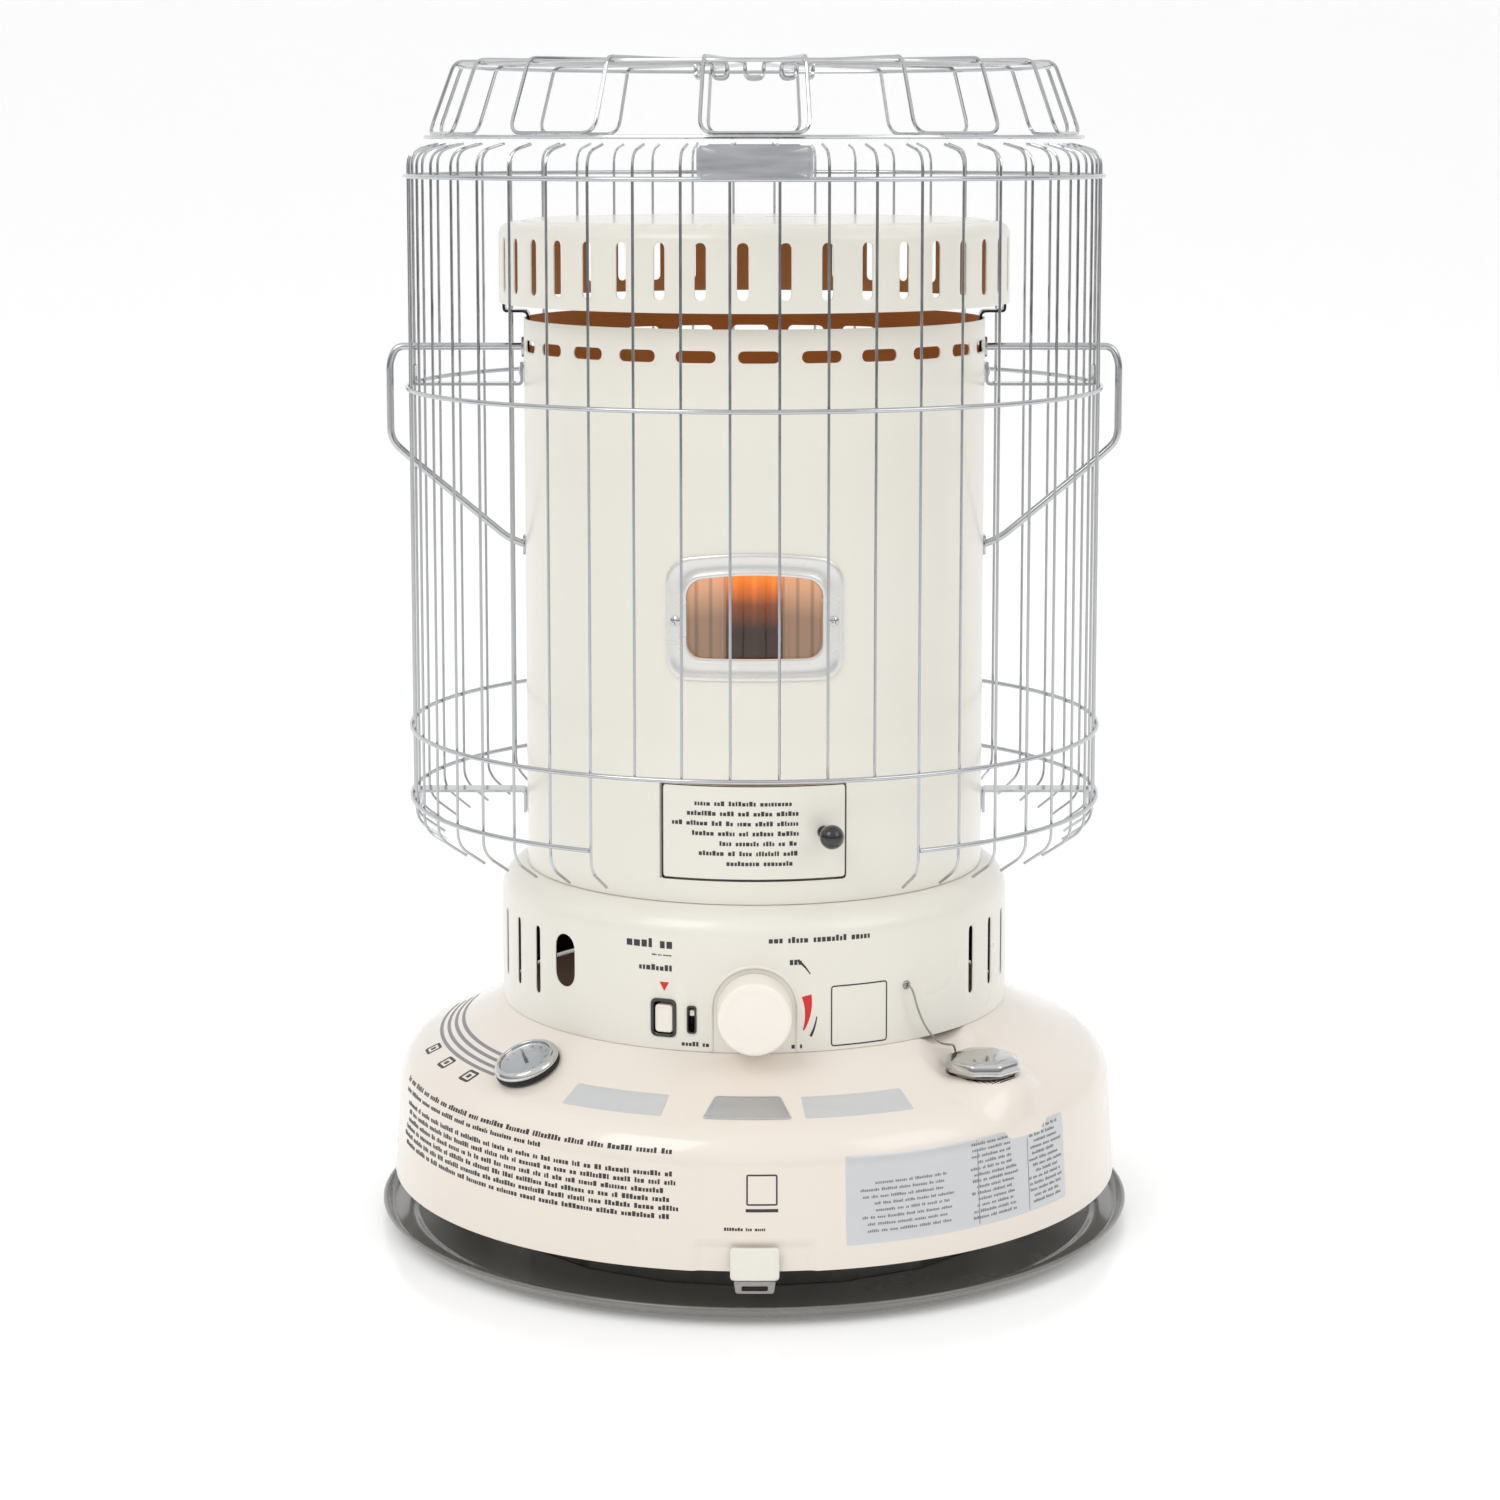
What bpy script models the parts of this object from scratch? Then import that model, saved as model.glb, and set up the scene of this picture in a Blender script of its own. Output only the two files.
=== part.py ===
# Round convection kerosene heater with a wire guard, as an assembly of separate pieces.
# Sizes here are in millimetres and meshes are written in metres. The origin is the centre of
# the drip tray's underside, +Z is up and the front faces -Y. Angles are in degrees from the
# front, positive towards +X.
import bmesh
import bpy
import numpy as np
from math import asin
from math import cos
from math import degrees
from math import pi
from math import radians
from math import sin
from math import sqrt
from math import tan
from mathutils import Matrix
from mathutils import Vector

# ---- driving dimensions ----
MM = 0.001
GAP = 0.3                  # left between pieces that touch
SHEET = 1.2                # pressed steel
RUN = 0.3                  # running clearance round shafts, between facets
BIG = 40                   # facets round the large shells
MID = 20
SMALL = 12

CHAMBER_RADIUS = 137.5     # the hot chamber sets every other radius
CHAMBER_HEIGHT = 327.0
CHAMBER_SLOTS = 24
CHAMBER_SLOT = (23.3, 6.8)     # width, height
CHAMBER_SLOT_DROP = 15.5       # rim to slot centre

CABINET_STEP = 15.5        # cabinet wall outside the chamber wall
CABINET_HEIGHT = 82.0
CABINET_SHOULDER = 17.0
VENT = (2.8, 40.0)
VENT_PITCH = 9.5
VENT_COUNT = 10            # each side
VENT_START = 56.0
VENT_TOP_DROP = 24.0       # cabinet top to vent top

TANK_SHELF = 63.0          # tank wall outside the cabinet wall
TANK_FLARE = 3.5           # the wall leans out to its bottom edge
TANK_WALL = 55.0           # straight wall height
TANK_SHOULDER = 26.5       # shoulder radius
SHOULDER_SWEEP = 66.0      # degrees of shoulder arc
TANK_LIFT = 29.0           # wall edge above the floor
TANK_RISE = 26.6           # from the shoulder's end up to the cabinet
SLOPE_START = 0.43         # slope of the top where the shoulder ends
SLOPE_END = 0.78           # and where it meets the cabinet
FOOT_RADIUS = 155.0
FOOT_WIDTH = 16.0

TRAY_MARGIN = 8.5          # tray rim outside the tank's edge
TRAY_HEIGHT = 10.0
TRAY_SHEET = 1.5

HAT_STEP = 14.5            # hat skirt outside the chamber wall
HAT_HEIGHT = 49.0
HAT_LIFT = 9.5             # open gap between the chamber's rim and the skirt
HAT_EDGE = 7.0
HAT_SLOTS = 40
HAT_SLOT = (6.4, 32.0)
HAT_SLOT_LIFT = 7.0        # skirt's edge to slot

GUARD_SPACE = 67.5         # chamber wall to wire circle
GUARD_WIRES = 48
GUARD_WIRE = 2.2
GUARD_HOOP = 3.2
GUARD_ABOVE_HAT = 45.0     # hat top to the guard's top edge
GUARD_TURN_IN = 18.0       # wires' bent ends
GUARD_DROP = 398.0         # top hoop down to the wires' lower ends
HOOP_BELOW_TOP = 19.5
HOOP_UPPER = 144.0         # guard top down to the hoop at the handles
HOOP_LOWER = 346.5
HOOP_BOTTOM = 389.0
FRONT_OPENING = 22.0       # half angle, between two wires
CROWN_BOTTOM_INSET = 12.0
CROWN_TOP_INSET = 28.0
CROWN_HEIGHT = 46.0
CROWN_HOLE = 33.0
CROWN_HOLE_DROP = 11.0
CROWN_LOOPS = 10
CROWN_WIRE = 2.6

WINDOW = (77.8, 47.0)
WINDOW_CORNER = 10.0
WINDOW_ARCH = 5.0          # how much the top edges rise to the middle
WINDOW_Z = 164.3           # chamber base to window centre
WINDOW_FRAME = (99.4, 70.0)
WINDOW_FRAME_CORNER = 14.0
SCREW_RADIUS = 2.6

DOOR = (104.5, 54.5)
DOOR_Z = 41.3              # chamber base to door centre
DOOR_SEAM = 0.9
DOOR_HINGE_SEAM = 2.6
DOOR_PIN = 0.8
BALL_RADIUS = 7.0
BALL_ANGLE = 16.5
BALL_REACH = 9.0           # stem length

KNOB_RADIUS = 20.5
KNOB_DEPTH = 22.0
KNOB_RISE = 25.2           # cabinet base to the shaft
KNOB_STANDOFF = 1.8
SHAFT_RADIUS = 3.0
BUTTON_ANGLE = -19.8
BUTTON_WINDOW = (14.5, 21.0)
BUTTON_RISE = 18.3
BUTTON_DEPTH = 12.0
BUTTON_SEAM = 1.8
FLAG_ANGLE = -13.5
FLAG_SLOT = (4.5, 15.1)
OVAL_ANGLE = -46.0
OVAL = (16.6, 31.0)
OVAL_RISE = 42.5
SWITCH_INSET = 17.0        # switch bracket behind the cabinet wall

WICK_INNER = 41.7
WICK_THICK = 3.0
WICK_PLAY = 0.5            # radial clearance of the wick in its tubes
WICK_LENGTH = 160.0
SLEEVE_PLAY = 0.4
GUIDE_PLAY = 1.2
GUIDE_RISE = 91.0          # guide top above the tank's top plate
WICK_TRAVEL_DEG = 110.0
GEAR_TEETH = 12
GEAR_MODULE = 1.0
GEAR_WIDTH = 5.6
BACKLASH = 0.3
RACK_Y = 51.3              # inner face of the rack and pinion

BURNER_HEIGHT = 103.0
BURNER_HOLES = 10
RADIANT_RADIUS = 17.0
RADIANT_HEIGHT = 150.0

CAP_ANGLE = 46.2
CAP_RADIUS = 22.6          # across the corners
CAP_HEIGHT = 8.6
CAP_SETBACK = 29.5         # cabinet wall to cap centre
PAD_RADIUS = 26.0
NECK_RADIUS = 16.0
GAUGE_ANGLE = -46.4
GAUGE_RADIUS = 19.4
GAUGE_SETBACK = 26.5
GAUGE_TILT = 24.0
FLOAT_ARM = 46.0
FLOAT_RADIUS = 10.0
FLOAT_REST = -25.0         # degrees, hanging when the tank is empty

HANDLE_ROD = 2.2           # radius
HANDLE_REACH = 13.0        # grip outside the wire circle
HANDLE_TOP = 23.0          # top rod above the upper hoop
HANDLE_GRIP = 33.0         # grip's lower end below the upper hoop
HANDLE_CORNER = 44.0
HANDLE_FOOT = 96.0         # lower end on the chamber below the upper hoop
ARM_WIDTH = 15.0
ARM_SHEET = 1.8

TETHER_START = (87.9, -126.7, 168.0)
TETHER_RADIUS = 0.6
LUG_ANGLE = 129.0          # degrees anticlockwise from +X, round the cap

# ---- places that follow from them ----
CABINET_RADIUS = CHAMBER_RADIUS + CABINET_STEP
TANK_RADIUS = CABINET_RADIUS + TANK_SHELF
TANK_EDGE_RADIUS = TANK_RADIUS + TANK_FLARE
TRAY_RADIUS = TANK_EDGE_RADIUS + TRAY_MARGIN
HAT_RADIUS = CHAMBER_RADIUS + HAT_STEP
GUARD_RADIUS = CHAMBER_RADIUS + GUARD_SPACE

WALL_TOP_Z = TANK_LIFT + TANK_WALL
SHOULDER_R = TANK_RADIUS - TANK_SHOULDER * (1 - cos(radians(SHOULDER_SWEEP)))
SHOULDER_Z = WALL_TOP_Z + TANK_SHOULDER * sin(radians(SHOULDER_SWEEP))
PLATE_Z = SHOULDER_Z + TANK_RISE              # top of the tank under the cabinet
CABINET_Z = PLATE_Z + GAP
CABINET_TOP_Z = CABINET_Z + CABINET_HEIGHT
CHAMBER_Z = CABINET_TOP_Z + GAP
CHAMBER_TOP_Z = CHAMBER_Z + CHAMBER_HEIGHT
HAT_Z = CHAMBER_TOP_Z + HAT_LIFT
HAT_TOP_Z = HAT_Z + HAT_HEIGHT
GUARD_TOP_Z = HAT_TOP_Z + GUARD_ABOVE_HAT
UPPER_HOOP_Z = GUARD_TOP_Z - HOOP_UPPER
BOTTOM_HOOP_Z = GUARD_TOP_Z - HOOP_BOTTOM
CROWN_Z = GUARD_TOP_Z + 2.4
KNOB_Z = CABINET_Z + KNOB_RISE

WICK_OUTER = WICK_INNER + WICK_THICK
SLEEVE_INNER = WICK_OUTER + SLEEVE_PLAY
SLEEVE_OUTER = SLEEVE_INNER + SHEET
GUIDE_INNER = SLEEVE_OUTER + GUIDE_PLAY
GUIDE_OUTER = GUIDE_INNER + SHEET
GUIDE_TOP_Z = PLATE_Z + GUIDE_RISE
DRAFT_OUTER = WICK_INNER - WICK_PLAY
DRAFT_TOP_Z = GUIDE_TOP_Z + 2.0
WICK_TOP_Z = GUIDE_TOP_Z - 2.0
PITCH_RADIUS = GEAR_TEETH * GEAR_MODULE / 2


# ---- materials ----
def linear(value):
    return value / 12.92 if value <= 0.04045 else ((value + 0.055) / 1.055) ** 2.4


def finish(name, colour, roughness, metallic, glow=0.0):
    """A Principled material whose colour is given as an sRGB hex value."""
    material = bpy.data.materials.new(name)
    material.use_nodes = True
    shader = material.node_tree.nodes["Principled BSDF"]
    parts = [linear(int(colour[i:i + 2], 16) / 255) for i in (0, 2, 4)]
    shader.inputs["Base Color"].default_value = (*parts, 1.0)
    shader.inputs["Roughness"].default_value = roughness
    shader.inputs["Metallic"].default_value = metallic
    if glow:
        shader.inputs["Emission Color"].default_value = (*parts, 1.0)
        shader.inputs["Emission Strength"].default_value = glow
    material.diffuse_color = (*parts, 1.0)
    return material


FINISHES = {
    "enamel": ("EDE7DA", 0.35, 0.0),
    "tray": ("3F3D3A", 0.3, 0.2),
    "chrome": ("D8D8DA", 0.12, 1.0),
    "steel": ("A9A9A6", 0.4, 1.0),
    "copper": ("8A5634", 0.45, 0.8),
    "black": ("141414", 0.25, 0.0),
    "rubber": ("101010", 0.7, 0.0),
    "foil": ("B9BDC4", 0.3, 1.0),
    "brass": ("B59552", 0.35, 1.0),
    "wick": ("E4DCC8", 0.9, 0.0),
    "glass": ("F3C9A0", 0.05, 0.0),
    "glow": ("D8651A", 0.6, 0.0, 1.0),
    "plastic": ("E9E2D6", 0.4, 0.0),
    "cork": ("A9794A", 0.8, 0.0),
}


# ---- frames and outlines ----
def at(angle, radius=0.0, z=0.0, tilt=0.0):
    """A frame on the heater's side: local -Y points outwards, and tilt leans local +Z outwards."""
    turn = Matrix.Rotation(radians(angle), 4, "Z")
    return turn @ Matrix.Translation((0, -radius, z)) @ Matrix.Rotation(radians(tilt), 4, "X")


def on_circle(angle, radius, z=0.0):
    return (radius * sin(radians(angle)), -radius * cos(radians(angle)), z)


def arc(centre, radius, start, end, steps):
    turns = np.radians(np.linspace(start, end, steps + 1))
    return [(centre[0] + radius * cos(a), centre[1] + radius * sin(a)) for a in turns]


def bezier(first, control, last, steps):
    t = np.linspace(0, 1, steps + 1)[:, None]
    first, control, last = map(np.array, (first, control, last))
    return [tuple(p) for p in (1 - t) ** 2 * first + 2 * t * (1 - t) * control + t ** 2 * last]


def sheet(path, thickness=SHEET):
    """Closed outline of a sheet whose given side follows path; the other side lies to its left."""
    points = np.array(path, float)
    along = np.diff(points, axis=0)
    normals = np.stack([-along[:, 1], along[:, 0]], 1) / np.linalg.norm(along, axis=1)[:, None]
    mitres = np.vstack([normals[:1], normals[:-1] + normals[1:], normals[-1:]])
    facing = np.vstack([normals, normals[-1:]])
    mitres = mitres / np.sum(mitres * facing, axis=1)[:, None]
    return [*map(tuple, points), *map(tuple, (points + mitres * thickness)[::-1])]


def slope_curve(steps):
    """The tank's top from the shoulder's end in to the cabinet, a curve between two set slopes."""
    span = SHOULDER_R - CABINET_RADIUS
    run = (SLOPE_END * span - TANK_RISE) / (SLOPE_END - SLOPE_START)
    control = (SHOULDER_R - run, SHOULDER_Z + SLOPE_START * run)
    return bezier((SHOULDER_R, SHOULDER_Z), control, (CABINET_RADIUS, PLATE_Z), steps)


def top_height(radius):
    radii, heights = zip(*slope_curve(40)[::-1])
    return float(np.interp(radius, radii, heights))


# ---- meshes ----
def add(name, vertices, faces, kind, matrix=None, pivot=None, smooth=True):
    """One object from millimetre vertices; its origin is put at pivot, also in millimetres."""
    mesh = bpy.data.meshes.new(name)
    points = [Vector(v) for v in vertices]
    if matrix is not None:
        points = [matrix @ p for p in points]
    base = Vector(pivot) if pivot else Vector((0, 0, 0))
    mesh.from_pydata([(p - base) * MM for p in points], [], [list(f) for f in faces])
    shape = bmesh.new()
    shape.from_mesh(mesh)
    bmesh.ops.recalc_face_normals(shape, faces=shape.faces)
    shape.to_mesh(mesh)
    shape.free()
    if smooth:
        mesh.shade_smooth()
        mesh.set_sharp_from_angle(angle=radians(35))
    if kind:
        mesh.materials.append(finish(name, *FINISHES[kind]))
    piece = bpy.data.objects.new(name, mesh)
    piece.location = base * MM
    bpy.context.scene.collection.objects.link(piece)
    return piece


def lathe(outline, segments, start=0.0, sweep=360.0):
    """Faces of a closed (radius, z) outline turned about Z, whole or as a capped sector."""
    whole = sweep >= 360
    count = segments if whole else segments + 1
    turns = np.radians(start + np.arange(count) * sweep / segments)
    vertices = []
    rows = []
    for radius, z in outline:
        if radius < 1e-6:
            rows.append([len(vertices)] * count)
            vertices.append((0, 0, z))
        else:
            rows.append(list(range(len(vertices), len(vertices) + count)))
            vertices += [(radius * sin(a), -radius * cos(a), z) for a in turns]
    faces = []
    for lower, upper in zip(rows, rows[1:] + rows[:1]):
        for i in range(segments):
            j = (i + 1) % count
            face = list(dict.fromkeys((lower[i], lower[j], upper[j], upper[i])))
            if len(face) > 2:
                faces.append(face)
    if not whole:
        faces += [[row[0] for row in rows], [row[-1] for row in rows]]
    return vertices, faces


def turned(name, outline, kind, segments=BIG, matrix=None, pivot=None, start=0.0, sweep=360.0):
    return add(name, *lathe(outline, segments, start, sweep), kind, matrix, pivot)


def tube(inner, outer, low, high):
    return [(outer, low), (outer, high), (inner, high), (inner, low)]


def rod(radius, low, high):
    return [(0, low), (radius, low), (radius, high), (0, high)]


def blocks(name, kind, boxes, pivot=None):
    """Boxes of (frame, centre, size), all in one mesh."""
    vertices = []
    faces = []
    for frame, centre, size in boxes:
        base = len(vertices)
        for corner in range(8):
            signs = ((corner & 1) * 2 - 1, (corner >> 1 & 1) * 2 - 1, (corner >> 2 & 1) * 2 - 1)
            local = [c + s * w / 2 for c, s, w in zip(centre, signs, size)]
            vertices.append(frame @ Vector(local))
        sides = ((0, 1, 3, 2), (4, 6, 7, 5), (0, 4, 5, 1), (2, 3, 7, 6), (0, 2, 6, 4), (1, 5, 7, 3))
        faces += [[base + i for i in side] for side in sides]
    return add(name, vertices, faces, kind, pivot=pivot, smooth=False)


def plate(name, outline, low, high, kind, matrix, pivot=None):
    """A flat outline in local X and Z, given thickness along local Y."""
    count = len(outline)
    vertices = [(x, low, z) for x, z in outline] + [(x, high, z) for x, z in outline]
    faces = [list(range(count)), list(range(2 * count - 1, count - 1, -1))]
    faces += [[i, (i + 1) % count, count + (i + 1) % count, count + i] for i in range(count)]
    return add(name, vertices, faces, kind, matrix, pivot)


def boolean(target, tool, operation="DIFFERENCE"):
    cut = target.modifiers.new(tool.name, "BOOLEAN")
    cut.operation = operation
    cut.solver = "EXACT"
    cut.object = tool
    tool.hide_render = True
    tool.display_type = "WIRE"


def wall_slots(name, radius, size, z, angles, depth=12.0):
    """A cutter of upright boxes through a round wall."""
    boxes = [(at(a, radius, z), (0, 0, 0), (size[0], depth, size[1])) for a in angles]
    return blocks(name, None, boxes)


def arched(width, height, corner, arch, steps=3):
    """A rounded rectangle, in X and Z about its centre, whose top edge rises to the middle."""
    side = width / 2 - corner
    low = corner - height / 2
    top = height / 2 - arch - corner
    points = arc((-side, low), corner, 180, 270, steps)
    points += [(side * share, -height / 2) for share in (-0.7, -0.35, 0, 0.35, 0.7)]
    points += arc((side, low), corner, 270, 360, steps)
    points += arc((side, top), corner, 0, 72, steps)
    edge = points[-1]
    for share in (0.7, 0.35, 0, -0.35, -0.7):
        x = edge[0] * share
        points.append((x, height / 2 - (height / 2 - edge[1]) * share ** 2))
    points += [(-x, z) for x, z in arc((side, top), corner, 72, 0, steps)]
    return points


def bent(outline, radius):
    """Points of a front view laid on a cylinder, as (x, y, z)."""
    return [(x, -sqrt(radius ** 2 - x ** 2), z) for x, z in outline]


# ---- lattices: bars and hoops as one pierced wall ----
def lattice(profile, thickness, edges, bars, solid):
    """A pierced wall. profile holds (radius, z) stations; edges holds (angle, offset) pairs, where
    offset is half a bar's width; bars says which spans between edges are bars; solid(row, span)
    says which cells hold metal."""
    points = np.array(profile, float)
    inner = np.array(sheet(profile, thickness)[len(profile):][::-1])
    closed = len(bars) == len(edges)
    vertices = []
    lookup = {}
    faces = []

    def corner(side, row, edge):
        key = (side, row, edge % len(edges))
        if key not in lookup:
            radius, z = (points, inner)[side][row]
            angle, offset = edges[key[2]]
            turn = radians(angle) + asin(offset / points[row][0])
            lookup[key] = len(vertices)
            vertices.append((radius * sin(turn), -radius * cos(turn), z))
        return lookup[key]

    def metal(row, span):
        if closed:
            span %= len(bars)
        inside = 0 <= row < len(profile) - 1 and 0 <= span < len(bars)
        return inside and solid(row, span)

    for row in range(len(profile) - 1):
        for span in range(len(bars)):
            if not metal(row, span):
                continue
            ring = ((row, span), (row, span + 1), (row + 1, span + 1), (row + 1, span))
            faces.append([corner(0, *c) for c in ring])
            faces.append([corner(1, *c) for c in ring[::-1]])
            beside = ((row - 1, span), (row, span + 1), (row + 1, span), (row, span - 1))
            for step, cell in enumerate(beside):
                if not metal(*cell):
                    a, b = ring[step], ring[(step + 1) % 4]
                    faces.append([corner(0, *b), corner(0, *a), corner(1, *a), corner(1, *b)])
    return vertices, faces


def guard_half(name, middle):
    """Half of the wire guard: upright wires with turned-in ends and four hoops, split at the sides."""
    pitch = 360 / GUARD_WIRES
    count = GUARD_WIRES // 2
    angles = [middle + (i - (count - 1) / 2) * pitch for i in range(count)]
    edges = [(middle - 90, GAP)]
    for angle in angles:
        edges += [(angle, -GUARD_WIRE / 2), (angle, GUARD_WIRE / 2)]
    edges.append((middle + 90, -GAP))
    bars = [span % 2 == 1 for span in range(len(edges) - 1)]
    outer = GUARD_RADIUS + GUARD_WIRE / 2
    heights = [BOTTOM_HOOP_Z, GUARD_TOP_Z - HOOP_LOWER, UPPER_HOOP_Z, GUARD_TOP_Z - HOOP_BELOW_TOP]
    low = GUARD_TOP_Z - HOOP_BELOW_TOP - GUARD_DROP
    profile = [(outer - GUARD_TURN_IN, low + 3), (outer, low + 15)]
    hoops = []
    for height in heights:
        hoops.append(len(profile))
        profile += [(outer, height - GUARD_HOOP / 2), (outer, height + GUARD_HOOP / 2)]
    profile += [(outer, GUARD_TOP_Z - 5), (outer - GUARD_TURN_IN, GUARD_TOP_Z)]

    def solid(row, span):
        centre = (edges[span][0] + edges[span + 1][0]) / 2
        if middle == 0 and abs(centre) < FRONT_OPENING + pitch / 2 and row < hoops[1]:
            return False
        return bars[span] or row in hoops

    return add(name, *lattice(profile, GUARD_WIRE, edges, bars, solid), "chrome", smooth=False)


def crown(name):
    """Top grille: ten wire loops that rise, turn in and hook down round the middle opening."""
    half = 180 / CROWN_LOOPS / 2
    edges = []
    for loop in range(CROWN_LOOPS):
        for angle in (loop * 4 * half - half, loop * 4 * half + half):
            edges += [(angle, -CROWN_WIRE / 2), (angle, CROWN_WIRE / 2), (angle + half, 0)]
    bars = [span % 3 == 0 for span in range(len(edges))]
    inside = [span % 6 in (0, 1, 2, 3) for span in range(len(edges))]
    bottom = GUARD_RADIUS - CROWN_BOTTOM_INSET
    top = GUARD_RADIUS - CROWN_TOP_INSET
    high = CROWN_Z + CROWN_HEIGHT - GAP
    profile = [
        (bottom, CROWN_Z),
        (bottom - 1.0, CROWN_Z + CROWN_WIRE),
        (top + 1.0, high - CROWN_WIRE),
        (top, high),
        (top - CROWN_WIRE, high),
        (CROWN_HOLE, high),
        (CROWN_HOLE, high - CROWN_HOLE_DROP + CROWN_WIRE),
        (CROWN_HOLE, high - CROWN_HOLE_DROP),
    ]
    rings = (0, 3)
    last = len(profile) - 2

    def solid(row, span):
        return bars[span] or row in rings or (row == last and inside[span])

    return add(name, *lattice(profile, CROWN_WIRE, edges, bars, solid), "chrome", smooth=False)


def pierced(name, inner, outer, low, high, rows, kind):
    """A burner cylinder with square air holes in rows."""
    pitch = 360 / BURNER_HOLES
    hole = radians(pitch) * outer / 2
    edges = []
    for i in range(BURNER_HOLES):
        edges += [(i * pitch, -hole / 2), (i * pitch, hole / 2)]
    bars = [span % 2 == 0 for span in range(len(edges))]
    step = (high - low) / (2 * rows + 1)
    profile = [(outer, low + step * i) for i in range(2 * rows + 2)]

    def solid(row, span):
        return bars[span] or row % 2 == 0

    return add(name, *lattice(profile, outer - inner, edges, bars, solid), kind)


# ---- base ----
def drip_tray():
    floor = TANK_EDGE_RADIUS - 14
    path = [(0, 0), (floor, 0), (floor + 5, 3.5), (TRAY_RADIUS - 4, 3.5), (TRAY_RADIUS, TRAY_HEIGHT)]
    turned("drip_tray", sheet(path, TRAY_SHEET), "tray")


def tank_outline(inset=0.0, bottom=TANK_LIFT):
    """Outer profile of the tank top, from its bottom edge to the axis, moved in by a sheet."""
    path = [(TANK_EDGE_RADIUS, TANK_LIFT)]
    path += arc((TANK_RADIUS - TANK_SHOULDER, WALL_TOP_Z), TANK_SHOULDER, 0, SHOULDER_SWEEP, 4)
    path += slope_curve(3)[1:]
    path.append((0, PLATE_Z))
    if inset:
        path = sheet(path, inset)[len(path):][::-1]
        path[0] = (path[0][0], bottom)
        path[-1] = (0, path[-1][1])
    return [(0, bottom)] + path


def fuel_tank_top():
    pad_z = top_height(CABINET_RADIUS + CAP_SETBACK)
    cap_frame = at(CAP_ANGLE, CABINET_RADIUS + CAP_SETBACK)
    outside = turned("tank_top", tank_outline(), "enamel")
    inside = turned("tank_hollow", tank_outline(SHEET, TANK_LIFT - 5), None)
    for target, radius, depth in ((outside, PAD_RADIUS, 0.0), (inside, PAD_RADIUS + SHEET, SHEET)):
        clear = rod(radius, pad_z - depth, pad_z + 40)
        boolean(target, turned(f"{target.name}_clear", clear, None, MID, cap_frame))
        boss = rod(PAD_RADIUS - depth - 0.7, pad_z - 22, pad_z - depth - 0.1)
        boolean(target, turned(f"{target.name}_boss", boss, None, MID, cap_frame), "UNION")
    boolean(outside, inside)
    vertices = []
    faces = []
    neck_hole = (cap_frame, NECK_RADIUS + GAP, pad_z)
    gauge_hole = (gauge_frame(), 5.0, 0.0)
    wick_hole = (at(0), GUIDE_OUTER + GAP, PLATE_Z)
    holes = (neck_hole, gauge_hole, wick_hole)
    for frame, radius, z in holes:
        points, sides = lathe(rod(radius, z - 12, z + 12), MID)
        faces += [[len(vertices) + i for i in side] for side in sides]
        vertices += [frame @ Vector(p) for p in points]
    boolean(outside, add("tank_holes", vertices, faces, None))


def fuel_tank_bottom():
    hole = DRAFT_OUTER + GAP
    floor = TANK_LIFT + 2
    rest = TRAY_SHEET + GAP
    half = FOOT_WIDTH / 2
    inner_edge = TANK_EDGE_RADIUS - SHEET - 1.0
    path = [(hole, floor), (FOOT_RADIUS - half - 3, floor), (FOOT_RADIUS - half, rest)]
    path += [(FOOT_RADIUS + half, rest), (FOOT_RADIUS + half + 3, floor), (inner_edge, floor)]
    path += [(inner_edge, floor + 8)]
    turned("tank_bottom", sheet(path), "steel", MID)


def wick_tubes():
    low = TANK_LIFT + 2
    turned("draft_tube", tube(DRAFT_OUTER - SHEET, DRAFT_OUTER, low, DRAFT_TOP_Z), "steel", MID)
    flange = [(GUIDE_OUTER + 12, PLATE_Z + GAP), (GUIDE_OUTER + 12, PLATE_Z + GAP + SHEET)]
    flange += [(GUIDE_OUTER, PLATE_Z + GAP + SHEET), (GUIDE_OUTER, GUIDE_TOP_Z)]
    flange += [(GUIDE_INNER, GUIDE_TOP_Z), (GUIDE_INNER, PLATE_Z - 35)]
    flange += [(GUIDE_OUTER, PLATE_Z - 35), (GUIDE_OUTER, PLATE_Z + GAP)]
    guide = turned("wick_guide", flange, "steel", MID)
    travel = radians(WICK_TRAVEL_DEG) * PITCH_RADIUS
    slot = (at(0), (-PITCH_RADIUS - 3.6, -GUIDE_OUTER, KNOB_Z + travel / 2), (8.0, 14, 32 + travel))
    boolean(guide, blocks("guide_slot", None, [slot]))


def wick_and_sleeve():
    bottom = WICK_TOP_Z - WICK_LENGTH
    turned("wick", tube(WICK_INNER, WICK_OUTER, bottom, WICK_TOP_Z), "wick", MID)
    ring = tube(SLEEVE_INNER, SLEEVE_OUTER, KNOB_Z - 32, KNOB_Z + 32)
    sleeve = turned("wick_sleeve", ring, "steel", MID)
    teeth = rack_outline(5, 2)
    rack = plate("rack_bar", teeth, -RACK_Y - GEAR_WIDTH, -RACK_Y, None, at(0, 0, KNOB_Z))
    web = (at(0), (-PITCH_RADIUS - 3.6, -(RACK_Y + SLEEVE_INNER) / 2 - 0.6, KNOB_Z),
           (2.4, RACK_Y - SLEEVE_INNER + 4.6, 20))
    boolean(sleeve, rack, "UNION")
    boolean(sleeve, blocks("rack_web", None, [web]), "UNION")


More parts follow.
